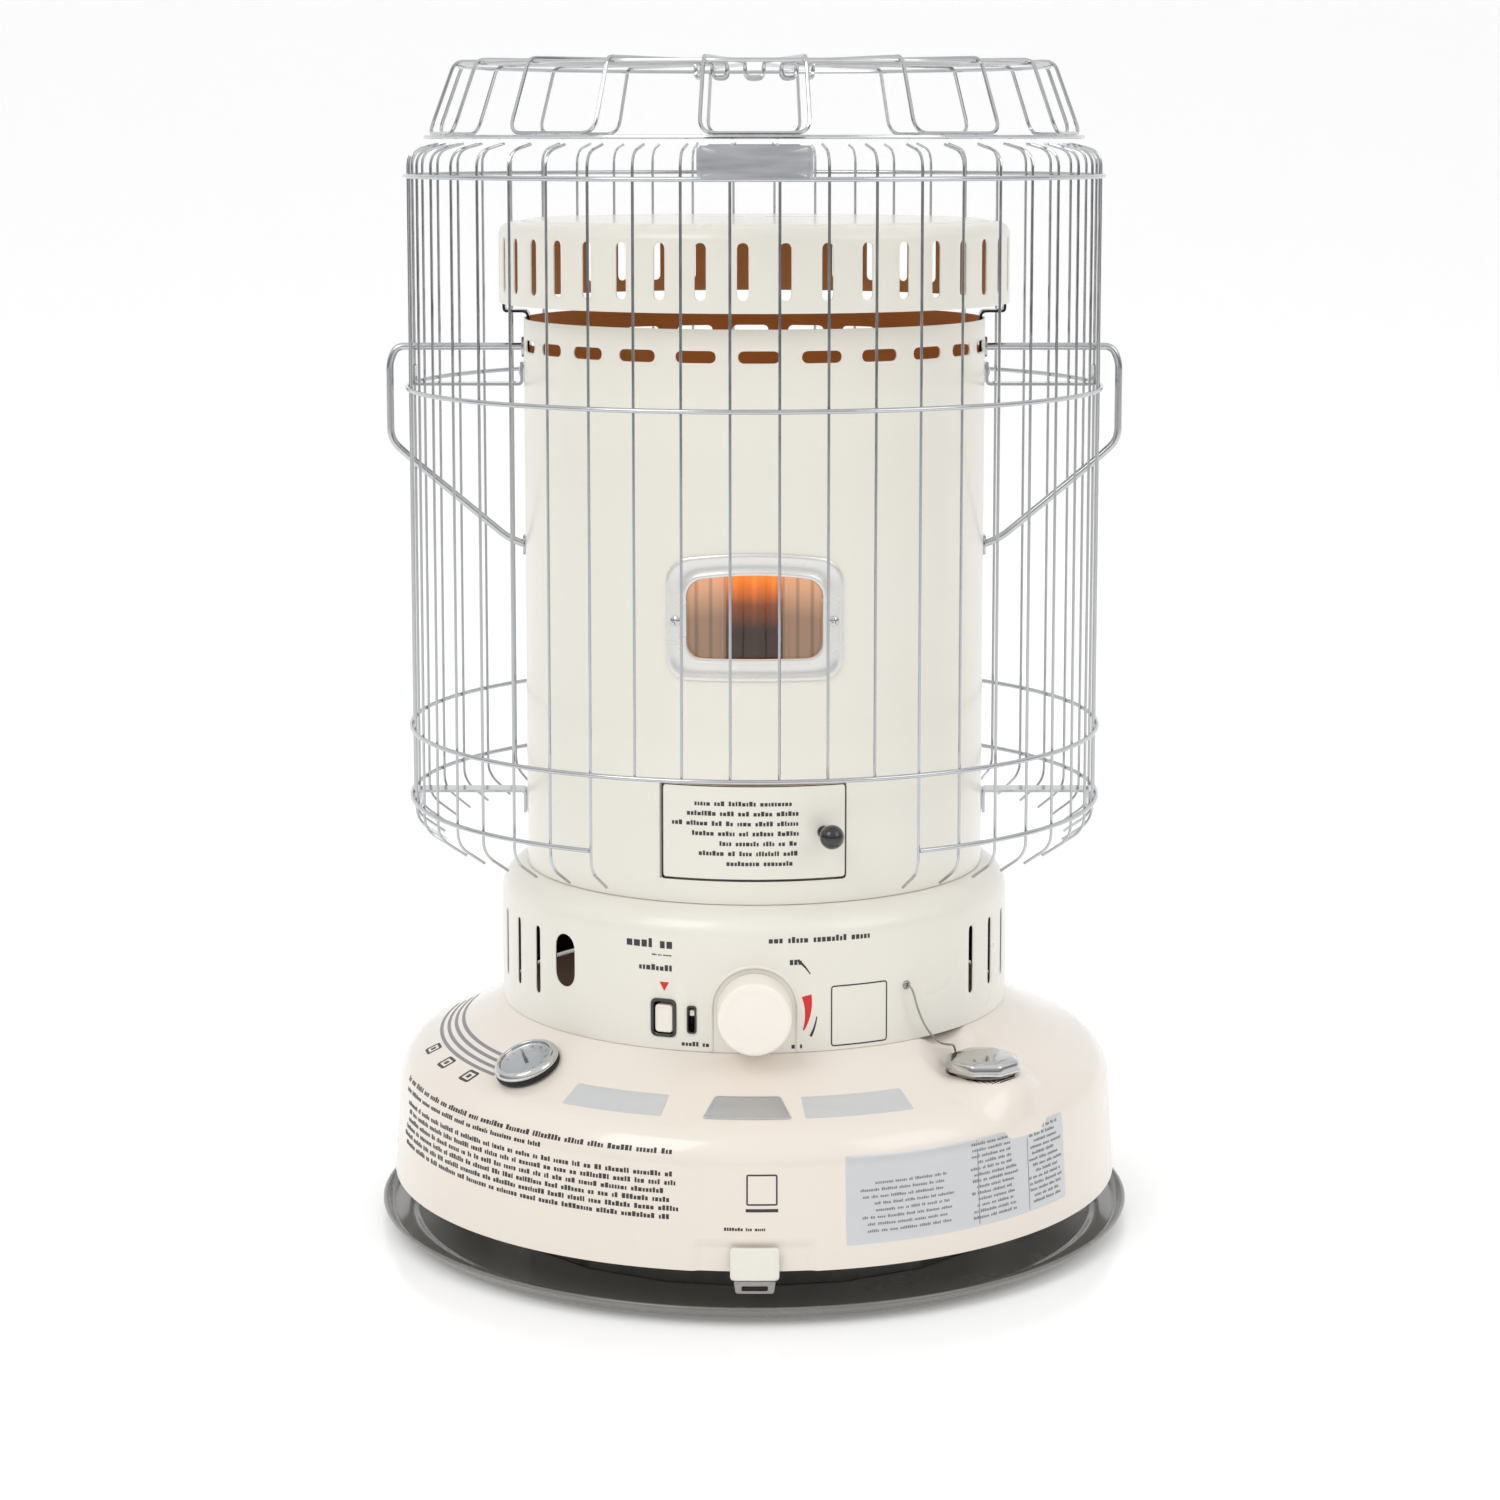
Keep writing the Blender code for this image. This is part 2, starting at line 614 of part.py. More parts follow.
def rack_outline(below, above):
    """Rack on the pinion's left: straight 20 degree flanks, a gap at the pinion's own height."""
    pitch = pi * GEAR_MODULE
    tip = -PITCH_RADIUS + 0.7 * GEAR_MODULE
    root = -PITCH_RADIUS - 0.95 * GEAR_MODULE
    back = -PITCH_RADIUS - 4.6
    half = pitch / 4 - BACKLASH / 2
    lean = tan(radians(20))
    points = []
    for tooth in range(-below, above + 1):
        z = (tooth + 0.5) * pitch
        points.append((root, z - half - 0.95 * lean))
        points.append((tip, z - half + 0.7 * lean))
        points.append((tip, z + half - 0.7 * lean))
        points.append((root, z + half + 0.95 * lean))
    return points + [(back, points[-1][1] + 1), (back, points[0][1] - 1)]


def pinion_outline():
    """Involute teeth, short at the tip so that few teeth run without undercut."""
    base = PITCH_RADIUS * cos(radians(20))
    tip = PITCH_RADIUS + 0.7 * GEAR_MODULE
    root = PITCH_RADIUS - 0.95 * GEAR_MODULE
    half = pi / 2 / GEAR_TEETH - BACKLASH / 2 / PITCH_RADIUS
    zero = tan(radians(20)) - radians(20)
    points = []
    for tooth in range(GEAR_TEETH):
        middle = pi + tooth * 2 * pi / GEAR_TEETH
        flank = [(root, half + zero)]
        for radius in (base, PITCH_RADIUS, tip):
            roll = sqrt(max(0.0, (radius / base) ** 2 - 1))
            flank.append((radius, half + zero - (roll - np.arctan(roll))))
        points += [(r * cos(middle - a), r * sin(middle - a)) for r, a in flank]
        points += [(r * cos(middle + a), r * sin(middle + a)) for r, a in flank[::-1]]
    return points


def wick_drive():
    """Knob, shaft and pinion, on one axis that runs straight out of the front."""
    axis = (0, 0, KNOB_Z)
    out = at(0, 0, KNOB_Z, 90)
    face = CABINET_RADIUS + KNOB_STANDOFF
    bore = SHAFT_RADIUS + RUN
    end = face + 16
    pinion = plate("wick_pinion", pinion_outline(), -RACK_Y - GEAR_WIDTH, -RACK_Y, "brass",
                   at(0, 0, KNOB_Z), axis)
    cutter = turned("pinion_bore", rod(bore, RACK_Y - 2, RACK_Y + GEAR_WIDTH + 2), None, SMALL, out)
    boolean(pinion, cutter)
    turned("wick_shaft", rod(SHAFT_RADIUS, RACK_Y, end), "steel", SMALL, out, axis)
    edge = 3.0
    outline = [(bore, face), (KNOB_RADIUS, face)]
    outline += arc((KNOB_RADIUS - edge, face + KNOB_DEPTH - edge), edge, 0, 90, 3)
    outline += [(0, face + KNOB_DEPTH + 1.2), (0, end + GAP), (bore, end + GAP)]
    turned("wick_knob", outline, "plastic", MID, out, axis)
    frame = at(0, 78, CABINET_Z + GAP)
    height = KNOB_RISE + 10
    foot = [(frame, (0, 0, height / 2), (22, 2, height)), (frame, (0, 5, 0.8), (21.8, 11, 1.6))]
    bracket = blocks("shaft_bracket", "steel", foot[:1])
    boolean(bracket, blocks("shaft_bracket_foot", None, foot[1:]), "UNION")
    boolean(bracket, turned("shaft_hole", rod(bore, 70, 86), None, SMALL, out))


# ---- cabinet ----
def cabinet():
    top = CABINET_TOP_Z
    bend = CABINET_SHOULDER
    path = [(CABINET_RADIUS, CABINET_Z)]
    path += arc((CABINET_RADIUS - bend, top - bend), bend, 0, 90, 4)
    path.append((CHAMBER_RADIUS - 14, top))
    shell = turned("cabinet", sheet(path), "enamel")
    vents = [side * (VENT_START + VENT_PITCH * i) for side in (-1, 1) for i in range(VENT_COUNT)]
    vent_z = top - VENT_TOP_DROP - VENT[1] / 2
    boolean(shell, wall_slots("vents", CABINET_RADIUS, VENT, vent_z, vents))
    opening = arched(OVAL[0], OVAL[1], OVAL[0] / 2 - 0.5, 0)
    frame = at(OVAL_ANGLE, CABINET_RADIUS, CABINET_Z + OVAL_RISE)
    boolean(shell, plate("oval_hole", opening, -8, 8, None, frame))
    button_z = CABINET_Z + BUTTON_RISE
    boxes = []
    for angle, size in ((BUTTON_ANGLE, BUTTON_WINDOW), (FLAG_ANGLE, FLAG_SLOT)):
        boxes.append((at(angle, CABINET_RADIUS, button_z), (0, 0, 0), (size[0], 12, size[1])))
    boolean(shell, blocks("button_windows", None, boxes))
    out = at(0, 0, KNOB_Z, 90)
    boolean(shell, turned("knob_hole", rod(SHAFT_RADIUS + 1.5, CABINET_RADIUS - 8, CABINET_RADIUS + 8),
                          None, SMALL, out))


def switches():
    button_z = CABINET_Z + BUTTON_RISE
    frame = at(BUTTON_ANGLE, CABINET_RADIUS, button_z)
    size = (BUTTON_WINDOW[0] - 2 * BUTTON_SEAM, BUTTON_DEPTH, BUTTON_WINDOW[1] - 2.4 * BUTTON_SEAM)
    start = on_circle(BUTTON_ANGLE, CABINET_RADIUS, button_z)
    blocks("shutoff_button", "plastic", [(frame, (0, BUTTON_DEPTH / 2, -0.6), size)], start)
    plate_frame = at((BUTTON_ANGLE + FLAG_ANGLE) / 2, CABINET_RADIUS - SWITCH_INSET, CABINET_Z + GAP)
    blocks("switch_bracket", "steel", [(plate_frame, (0, 1.0, 17), (44, 1.6, 34))])
    flag = (FLAG_SLOT[0] - 1.0, 12.0, 3.6)
    flag_frame = at(FLAG_ANGLE, CABINET_RADIUS - SWITCH_INSET + 1.2, button_z + 4.2)
    blocks("indicator_flag", "plastic", [(flag_frame, (0, -flag[1] / 2 - 1.0, 0), flag)])


def tip_over_switch():
    """A weight hanging from a bracket; it swings when the heater tips and trips the shut-off."""
    frame = at(-115, 100, CABINET_Z + GAP)
    post = [(frame, (0, 18, 34), (16, 1.6, 68))]
    arm = [(frame, (0, 7, 67.2), (16, 22, 1.6))]
    bracket = blocks("tip_bracket", "steel", post)
    boolean(bracket, blocks("tip_bracket_arm", None, arm), "UNION")
    high = 66.0
    outline = [(0, 14), (11, 14), (13, 16), (13, 36), (11, 38), (2, 40), (2, high - GAP), (0, high - GAP)]
    pivot = frame @ Vector((0, 0, high - GAP))
    turned("tip_weight", outline, "brass", SMALL, frame, tuple(pivot))


# ---- tank fittings ----
def filler():
    radius = CABINET_RADIUS + CAP_SETBACK
    pad_z = top_height(radius)
    frame = at(CAP_ANGLE, radius, pad_z)
    centre = on_circle(CAP_ANGLE, radius, pad_z)
    neck = tube(NECK_RADIUS - 2, NECK_RADIUS, -14, CAP_HEIGHT - 1.0)
    turned("filler_neck", neck, "brass", MID, frame)
    collar = lathe(tube(NECK_RADIUS + RUN, NECK_RADIUS + 2.2, GAP, GAP + 1.0), MID)
    ring = add("tether_collar", *collar, "steel", frame)
    lug_angle = radians(LUG_ANGLE)
    reach = CAP_RADIUS + 2.6
    lug_frame = Matrix.Translation(centre) @ Matrix.Rotation(lug_angle, 4, "Z")
    middle = (NECK_RADIUS + 1.2 + reach) / 2
    lug = [(lug_frame, (middle, 0, GAP + 0.5), (reach - NECK_RADIUS - 1.2, 3.0, 0.8))]
    boolean(ring, blocks("tether_lug", None, lug), "UNION")
    low = 2.0
    wall = (NECK_RADIUS + 2 * RUN) / cos(pi / 8)
    outline = [(CAP_RADIUS - 1.2, low), (CAP_RADIUS, low + 1.2), (CAP_RADIUS, low + CAP_HEIGHT - 1.4)]
    outline += [(CAP_RADIUS - 1.8, low + CAP_HEIGHT), (0, low + CAP_HEIGHT + 0.8)]
    outline += [(0, low + CAP_HEIGHT - 2), (wall, low + CAP_HEIGHT - 2), (wall, low)]
    add("fuel_cap", *lathe(outline, 8, start=22.5), "chrome", frame, centre, smooth=False)


def cap_tether():
    """A thin tether from the cabinet's eyelet, sagging over the tank to the collar behind the cap."""
    radius = CABINET_RADIUS + CAP_SETBACK
    centre = on_circle(CAP_ANGLE, radius, top_height(radius))
    turn = radians(LUG_ANGLE)
    reach = CAP_RADIUS + 1.7
    end = (centre[0] + reach * cos(turn), centre[1] + reach * sin(turn), centre[2] + 2.1)
    route = [TETHER_START, (89.2, -128.6, 167.6), (91.0, -129.8, 164.6), (94.0, -129.0, 154.0),
             (99.0, -126.0, 142.5), (106.0, -120.5, 133.2), (112.0, -114.0, 129.6),
             (115.3, -109.6, 128.0), (end[0] + 0.4, end[1] + 0.4, 123.4), end]
    knots = np.array(route)
    points = []
    for i in range(len(knots) - 1):
        a = knots[max(i - 1, 0)]
        b, c = knots[i], knots[i + 1]
        d = knots[min(i + 2, len(knots) - 1)]
        for t in (0, 0.25, 0.5, 0.75):
            cubic = 2 * b + (c - a) * t + (2 * a - 5 * b + 4 * c - d) * t ** 2
            points.append((cubic + (3 * b - a - 3 * c + d) * t ** 3) / 2)
    points.append(knots[-1])
    curve = bpy.data.curves.new("cap_tether", "CURVE")
    curve.dimensions = "3D"
    curve.bevel_depth = TETHER_RADIUS * MM
    curve.bevel_resolution = 2
    curve.use_fill_caps = True
    spline = curve.splines.new("POLY")
    spline.points.add(len(points) - 1)
    for point, place in zip(spline.points, points):
        point.co = (*(place * MM), 1.0)
    curve.materials.append(finish("cap_tether", *FINISHES["steel"]))
    bpy.context.scene.collection.objects.link(bpy.data.objects.new("cap_tether", curve))


def gauge_frame():
    radius = CABINET_RADIUS + GAUGE_SETBACK
    return at(GAUGE_ANGLE, radius, top_height(radius), GAUGE_TILT)


def fuel_gauge():
    frame = gauge_frame()
    edge = GAUGE_RADIUS
    turned("gauge_gasket", tube(6, edge - 1.2, 2.2, 3.8), "rubber", MID, frame)
    base = 3.8 + GAP
    outline = [(6, base), (edge, base), (edge, base + 1.4), (edge - 1.2, base + 3.2)]
    outline += [(edge - 3.4, base + 4.0), (edge - 3.4, base + 1.2), (6, base + 1.2)]
    turned("gauge_bezel", outline, "chrome", MID, frame)
    turned("gauge_dial", tube(1.4, edge - 3.7, base + 1.5, base + 2.0), "foil", MID, frame)
    dome = [(0, base + 4.1), (edge - 3.7, base + 3.0), (edge - 3.7, base + 3.7), (0, base + 5.6)]
    turned("gauge_glass", dome, "glass", MID, frame)
    tip = edge - 6
    needle = [(-1.0, -4), (1.0, -4), (1.0, 1), (0.3, tip), (-0.3, tip), (-1.0, 1)]
    flat = frame @ Matrix.Rotation(radians(60), 4, "Z") @ Matrix.Rotation(radians(-90), 4, "X")
    pivot = tuple(frame @ Vector((0, 0, base + 2.3)))
    low = -(base + 2.6)
    plate("gauge_needle", needle, low, low + 0.4, "black", flat, pivot)
    stem = turned("gauge_stem", rod(2.6, -37, base - GAP), "steel", SMALL, frame)
    side = frame @ Matrix.Translation((0, 0, -33)) @ Matrix.Rotation(radians(90), 4, "Y")
    boolean(stem, turned("float_pin", rod(1.5, 0, 9), None, SMALL, side), "UNION")
    eye = turned("float_arm", tube(1.5 + RUN, 4.0, 3.4, 6.6), "brass", SMALL, side,
                 tuple(frame @ Vector((0, 0, -33))))
    centre = frame @ Vector((0, 0, -33))
    level = Matrix.Translation(centre) @ at(GAUGE_ANGLE) @ Matrix.Rotation(radians(FLOAT_REST), 4, "X")
    reach = FLOAT_ARM - FLOAT_RADIUS - GAP
    bar = [(level, (5.0, (reach + 2.6) / 2, 0), (2.4, reach - 2.6, 2.4))]
    boolean(eye, blocks("float_bar", None, bar), "UNION")
    along = level @ Matrix.Translation((5.0, FLOAT_ARM, 0)) @ Matrix.Rotation(radians(90), 4, "Y")
    turned("float", rod(FLOAT_RADIUS, -14, 14), "cork", SMALL, along, tuple(centre))


def tray_catch():
    """Tab on the tank's front edge and the spring clip that holds the drip tray."""
    frame = at(0, TANK_EDGE_RADIUS + 0.6, TANK_LIFT)
    blocks("tray_catch", "enamel", [(frame, (0, -0.9, 5.0), (27, 1.8, 18.5))])
    outline = [(-11, -4.6), (-8.8, -11.5), (8.8, -11.5), (11, -4.6)]
    clip = plate("tray_clip", outline, -1.7, -0.7, "steel", frame)
    boolean(clip, blocks("clip_hole", None, [(frame, (0, -1.2, -9.1), (14.5, 4, 2.6))]))


# ---- burner ----
def burner():
    seat = GUIDE_TOP_Z + GAP
    outer = GUIDE_OUTER + 3.0
    turned("burner_seat", tube(GUIDE_INNER + 0.2, outer, seat, seat + SHEET), "steel", MID)
    low = seat + SHEET + GAP
    high = low + BURNER_HEIGHT
    pierced("burner_outer", outer - SHEET, outer, low, high, 3, "copper")
    inner = DRAFT_OUTER - 0.4
    low = DRAFT_TOP_Z + GAP
    pierced("burner_inner", inner - SHEET, inner, low, high - 8, 2, "copper")
    rim = [(inner + 4, high - 7.7), (inner + 5, high - 5), (inner - 4, high - 1)]
    spreader = [(0, high - 7.7), *rim, (0, high - 1)]
    turned("flame_spreader", spreader, "copper", MID)
    core = tube(RADIANT_RADIUS - SHEET, RADIANT_RADIUS, high - 1 + GAP, high + RADIANT_HEIGHT)
    turned("radiant_tube", core, "glow", MID)


# ---- chamber ----
def door_hinge():
    """Axis of the lighting door: an upright pin in the middle of the wall at its left edge."""
    radius = CHAMBER_RADIUS - SHEET / 2
    angle = -degrees(asin((DOOR[0] / 2 + DOOR_HINGE_SEAM / 2) / radius))
    return angle, radius


def chamber():
    low = CHAMBER_Z
    shell = turned("chamber", tube(CHAMBER_RADIUS - SHEET, CHAMBER_RADIUS, low, CHAMBER_TOP_Z), "enamel")
    angles = [360 / CHAMBER_SLOTS * i + 1.0 for i in range(CHAMBER_SLOTS)]
    slot_z = CHAMBER_TOP_Z - CHAMBER_SLOT_DROP
    boolean(shell, wall_slots("chamber_slots", CHAMBER_RADIUS, CHAMBER_SLOT, slot_z, angles, 14))
    window = arched(*WINDOW, WINDOW_CORNER, WINDOW_ARCH)
    opening = plate("window_hole", window, -CHAMBER_RADIUS - 10, -100, None, at(0, 0, low + WINDOW_Z))
    boolean(shell, opening)
    hinge, radius = door_hinge()
    left = -degrees(asin((DOOR[0] / 2 + DOOR_HINGE_SEAM) / radius))
    right = degrees(asin((DOOR[0] / 2 + DOOR_SEAM) / radius))
    z0 = low + DOOR_Z - DOOR[1] / 2 - DOOR_SEAM
    z1 = low + DOOR_Z + DOOR[1] / 2 + DOOR_SEAM
    sector = tube(CHAMBER_RADIUS - 8, CHAMBER_RADIUS + 8, z0, z1)
    boolean(shell, turned("door_hole", sector, None, 8, start=left, sweep=right - left))


def window_set():
    centre_z = CHAMBER_Z + WINDOW_Z
    inner = [(x, z + centre_z) for x, z in arched(*WINDOW, WINDOW_CORNER, WINDOW_ARCH)]
    outer = [(x, z + centre_z) for x, z in arched(*WINDOW_FRAME, WINDOW_FRAME_CORNER, WINDOW_ARCH + 1)]
    near = CHAMBER_RADIUS + 0.4
    far = near + SHEET
    loops = [bent(outer, near), bent(outer, far), bent(inner, far), bent(inner, near)]
    count = len(outer)
    vertices = [v for loop in loops for v in loop]
    faces = []
    for row in range(4):
        a, b = row * count, (row + 1) % 4 * count
        faces += [(a + i, a + (i + 1) % count, b + (i + 1) % count, b + i) for i in range(count)]
    add("window_frame", vertices, faces, "foil")
    half = degrees(asin((WINDOW[0] / 2 + 5) / CHAMBER_RADIUS))
    back = CHAMBER_RADIUS - SHEET - 1.0
    pane = tube(back - 1.0, back, centre_z - WINDOW[1] / 2 - 4, centre_z + WINDOW[1] / 2 + 4)
    turned("window_pane", pane, "glass", 10, start=-half, sweep=2 * half)
    head = [(0, 0), (SCREW_RADIUS, 0), (SCREW_RADIUS * 0.85, 0.8), (0, 1.4)]
    x = (WINDOW[0] + WINDOW_FRAME[0]) / 4
    for side, sign in (("left", -1), ("right", 1)):
        angle = sign * degrees(asin(x / far))
        turned(f"window_screw_{side}", head, "chrome", SMALL, at(angle, far + GAP, centre_z - 2, 90))


def lighting_door():
    hinge, radius = door_hinge()
    pivot = on_circle(hinge, radius)
    mid_z = CHAMBER_Z + DOOR_Z
    pin_top = DOOR[1] / 2 + DOOR_SEAM - GAP
    turned("door_pin", rod(DOOR_PIN, mid_z - pin_top, mid_z + pin_top), "steel", 8,
           Matrix.Translation(pivot), pivot)
    start = hinge + degrees((DOOR_PIN + GAP) / radius)
    end = degrees(asin(DOOR[0] / 2 / CHAMBER_RADIUS))
    leaf = tube(CHAMBER_RADIUS - SHEET, CHAMBER_RADIUS, mid_z - DOOR[1] / 2, mid_z + DOOR[1] / 2)
    turned("lighting_door", leaf, "enamel", 10, pivot=pivot, start=start, sweep=end - start)
    out = at(BALL_ANGLE, CHAMBER_RADIUS + GAP, mid_z, 90)
    middle = BALL_REACH + BALL_RADIUS
    ball = [(0, 0.1), (2.4, 0.1)]
    ball += [(BALL_RADIUS * cos(radians(a)), middle + BALL_RADIUS * sin(radians(a)))
             for a in (-70, -45, -20, 5, 30, 60)]
    ball.append((0, middle + BALL_RADIUS))
    turned("door_knob", ball, "black", 16, out, pivot)


def top_hat():
    path = [(HAT_RADIUS, HAT_Z)]
    path += arc((HAT_RADIUS - HAT_EDGE, HAT_TOP_Z - HAT_EDGE), HAT_EDGE, 0, 90, 3)
    path.append((0, HAT_TOP_Z))
    shell = turned("top_hat", sheet(path), "enamel", HAT_SLOTS, start=180 / HAT_SLOTS - 2.5)
    angles = [360 / HAT_SLOTS * i - 2.5 for i in range(HAT_SLOTS)]
    slot_z = HAT_Z + HAT_SLOT_LIFT + HAT_SLOT[1] / 2
    boolean(shell, wall_slots("hat_slots", HAT_RADIUS, HAT_SLOT, slot_z, angles))
    near = -CHAMBER_RADIUS + SHEET + 0.8
    far = -HAT_RADIUS + SHEET + 0.8
    bend_z = CHAMBER_TOP_Z + 3
    strap = sheet([(far, HAT_Z + 24), (far, bend_z), (near, bend_z), (near, CHAMBER_TOP_Z - 24)], 1.6)
    for side, angle in (("left", -90), ("right", 90)):
        frame = at(angle) @ Matrix.Rotation(radians(90), 4, "Z")
        plate(f"hat_bracket_{side}", strap, -7, 7, "black", frame)


# ---- guard, arms and handles ----
def guard_fittings():
    guard_half("guard_front", 0)
    guard_half("guard_rear", 180)
    crown("crown_grille")
    near = GUARD_RADIUS + GUARD_WIRE / 2 + 0.5
    half = degrees(asin(31.2 / near))
    low = GUARD_TOP_Z - 19
    for name, angle in (("badge_plate", 0), ("rear_plate", 180)):
        strip = tube(near, near + SHEET, low, low + 17.5)
        turned(name, strip, "foil", 8, start=angle - half, sweep=2 * half)


def guard_arms():
    near = CHAMBER_RADIUS + 0.7
    far = GUARD_RADIUS - GUARD_WIRE / 2 - GAP - 0.3
    levels = (("upper", UPPER_HOOP_Z, -1), ("lower", BOTTOM_HOOP_Z, 1))
    for side, angle in (("left", -90), ("right", 90)):
        frame = at(angle) @ Matrix.Rotation(radians(90), 4, "Z")
        for level, z, way in levels:
            inner = -near
            outer = -far
            path = [(inner, z - 14 * way), (inner, z), (outer, z), (outer, z - 12 * way)]
            if way < 0:
                path = path[::-1]
            strap = sheet(path, ARM_SHEET)
            plate(f"arm_{level}_{side}", strap, -ARM_WIDTH / 2, ARM_WIDTH / 2, "chrome", frame)
            if level == "upper":
                seat = at(angle, near + ARM_SHEET + GAP, z + 8, 90)
                head = [(0, 0), (SCREW_RADIUS, 0), (SCREW_RADIUS * 0.85, 0.8), (0, 1.4)]
                turned(f"arm_screw_{side}", head, "chrome", 8, seat)


def side_handles():
    inner = CHAMBER_RADIUS + 0.6
    grip = GUARD_RADIUS + HANDLE_REACH
    z = UPPER_HOOP_Z
    route = [(inner, z + HANDLE_TOP), (grip - 8, z + HANDLE_TOP), (grip - 2.5, z + HANDLE_TOP - 4),
             (grip, z + HANDLE_TOP - 11), (grip, z - HANDLE_GRIP), (grip - 3, z - HANDLE_GRIP - 7),
             (grip - 12, z - HANDLE_CORNER), (inner + 12, z - HANDLE_FOOT + 3.5),
             (inner + 5, z - HANDLE_FOOT + 1), (inner, z - HANDLE_FOOT)]
    for side, sign in (("left", -1), ("right", 1)):
        vertices, faces = sweep_rod([(sign * x, 0, h) for x, h in route], HANDLE_ROD, 8)
        add(f"handle_{side}", vertices, faces, "chrome")


def sweep_rod(points, radius, sides):
    """A round rod along a path in the XZ plane, with mitred bends and flat ends square to X."""
    path = np.array(points, float)
    along = np.diff(path, axis=0)
    along /= np.linalg.norm(along, axis=1)[:, None]
    facing = np.vstack([along[:1], along[:-1] + along[1:], along[-1:]])
    facing /= np.linalg.norm(facing, axis=1)[:, None]
    facing[-1] = facing[0] * (-1 if facing[-1][0] * facing[0][0] < 0 else 1)
    vertices = []
    for point, forward in zip(path, facing):
        across = np.cross(forward, (0, 1, 0))
        for side in range(sides):
            turn = 2 * pi * side / sides
            vertices.append(point + radius * (cos(turn) * across + sin(turn) * np.array((0, 1, 0))))
    faces = []
    for row in range(len(path) - 1):
        for i in range(sides):
            j = (i + 1) % sides
            a, b = row * sides, (row + 1) * sides
            faces.append((a + i, a + j, b + j, b + i))
    last = (len(path) - 1) * sides
    faces += [tuple(range(sides)), tuple(range(last, last + sides))]
    return vertices, faces


def build():
    for old in list(bpy.data.objects):
        bpy.data.objects.remove(old, do_unlink=True)
    drip_tray()
    fuel_tank_top()
    fuel_tank_bottom()
    wick_tubes()
    wick_and_sleeve()
    wick_drive()
    cabinet()
    switches()
    tip_over_switch()
    filler()
    cap_tether()
    fuel_gauge()
    tray_catch()
    burner()
    chamber()
    window_set()
    lighting_door()
    top_hat()
    guard_fittings()
    guard_arms()
    side_handles()


build()
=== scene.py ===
import bmesh
import bpy
import numpy as np
from mathutils import Matrix, Vector


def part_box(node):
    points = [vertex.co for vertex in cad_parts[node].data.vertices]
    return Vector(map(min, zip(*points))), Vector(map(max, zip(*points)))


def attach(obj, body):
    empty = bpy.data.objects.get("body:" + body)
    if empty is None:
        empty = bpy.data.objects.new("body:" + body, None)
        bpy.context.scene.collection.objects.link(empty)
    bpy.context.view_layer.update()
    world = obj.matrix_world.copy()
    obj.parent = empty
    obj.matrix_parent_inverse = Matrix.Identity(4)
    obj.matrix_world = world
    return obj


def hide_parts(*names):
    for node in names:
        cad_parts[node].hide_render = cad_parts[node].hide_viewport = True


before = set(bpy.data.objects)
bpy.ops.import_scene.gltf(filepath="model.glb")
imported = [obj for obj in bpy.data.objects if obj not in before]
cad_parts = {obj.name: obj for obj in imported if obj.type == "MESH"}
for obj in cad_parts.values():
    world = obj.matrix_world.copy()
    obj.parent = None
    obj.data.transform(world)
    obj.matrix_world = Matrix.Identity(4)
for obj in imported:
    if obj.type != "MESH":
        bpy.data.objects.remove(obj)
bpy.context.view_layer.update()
mm = 0.001
step = 1.5                      # degrees between the columns of a round shell
columns = int(360 / step)


# Places taken from the frame.
def roundSize(node):
    # a round node's radius and its lowest and highest height
    low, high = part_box(node)
    return max(high.x, -low.x) / mm, low.z / mm, high.z / mm


def middle(node):
    low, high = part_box(node)
    return np.array((low + high) / 2) / mm


chamberRadius, chamberLow, chamberHigh = roundSize("chamber")
cabinetRadius, cabinetLow, cabinetHigh = roundSize("cabinet")
hatRadius, hatLow, hatHigh = roundSize("top_hat")
tankEdge, tankLow, tankHigh = roundSize("tank_top")
trayRadius, _, trayHigh = roundSize("drip_tray")
guardEdge, guardLow, guardHigh = roundSize("guard_rear")
guardRadius = guardEdge - 1.1           # to the middle of its wires
crownLow, crownHigh = roundSize("crown_grille")[1:]
knobZ = middle("wick_knob")[2]


# Camera.
view = {"distance": 2033, "height": 650, "lens": 81.6, "pitch": 7.23, "shift": -0.12, "aside": -2.6}


def makeCamera():
    lens = bpy.data.cameras.new("camera")
    lens.lens = view["lens"]
    lens.sensor_width = 36
    lens.shift_y = view["shift"]
    lens.clip_start = 0.05
    lens.clip_end = 60
    eye = bpy.data.objects.new("camera", lens)
    eye.location = (view["aside"] * mm, -view["distance"] * mm, view["height"] * mm)
    eye.rotation_euler = (np.radians(90 - view["pitch"]), 0, 0)
    bpy.context.scene.collection.objects.link(eye)
    bpy.context.scene.camera = eye


makeCamera()


# Materials.
def linearColour(code):
    # sRGB hex to linear: v / 12.92 near black, else ((v + 0.055) / 1.055) to the power 2.4
    values = np.array([int(code[i:i + 2], 16) for i in (0, 2, 4)]) / 255
    values = np.where(values <= 0.04045, values / 12.92, ((values + 0.055) / 1.055) ** 2.4)
    return (*values.tolist(), 1.0)


def addNode(tree, kind, inputs=None, **settings):
    node = tree.nodes.new("ShaderNode" + kind)
    for name, value in settings.items():
        setattr(node, name, value)
    for name, value in (inputs or {}).items():
        socket = node.inputs[name]
        if isinstance(value, bpy.types.NodeSocket):
            tree.links.new(value, socket)
        else:
            socket.default_value = value
    return node


def newMaterial(name, **sockets):
    # a socket's value is a number or a hex colour, and _ stands for a space in its name
    material = bpy.data.materials.new(name)
    material.use_nodes = True
    tree = material.node_tree
    shader = tree.nodes["Principled BSDF"]
    for socket, value in sockets.items():
        value = linearColour(value) if isinstance(value, str) else value
        shader.inputs[socket.replace("_", " ")].default_value = value
    place = addNode(tree, "TexCoord").outputs["Object"]
    return material, tree, shader, place


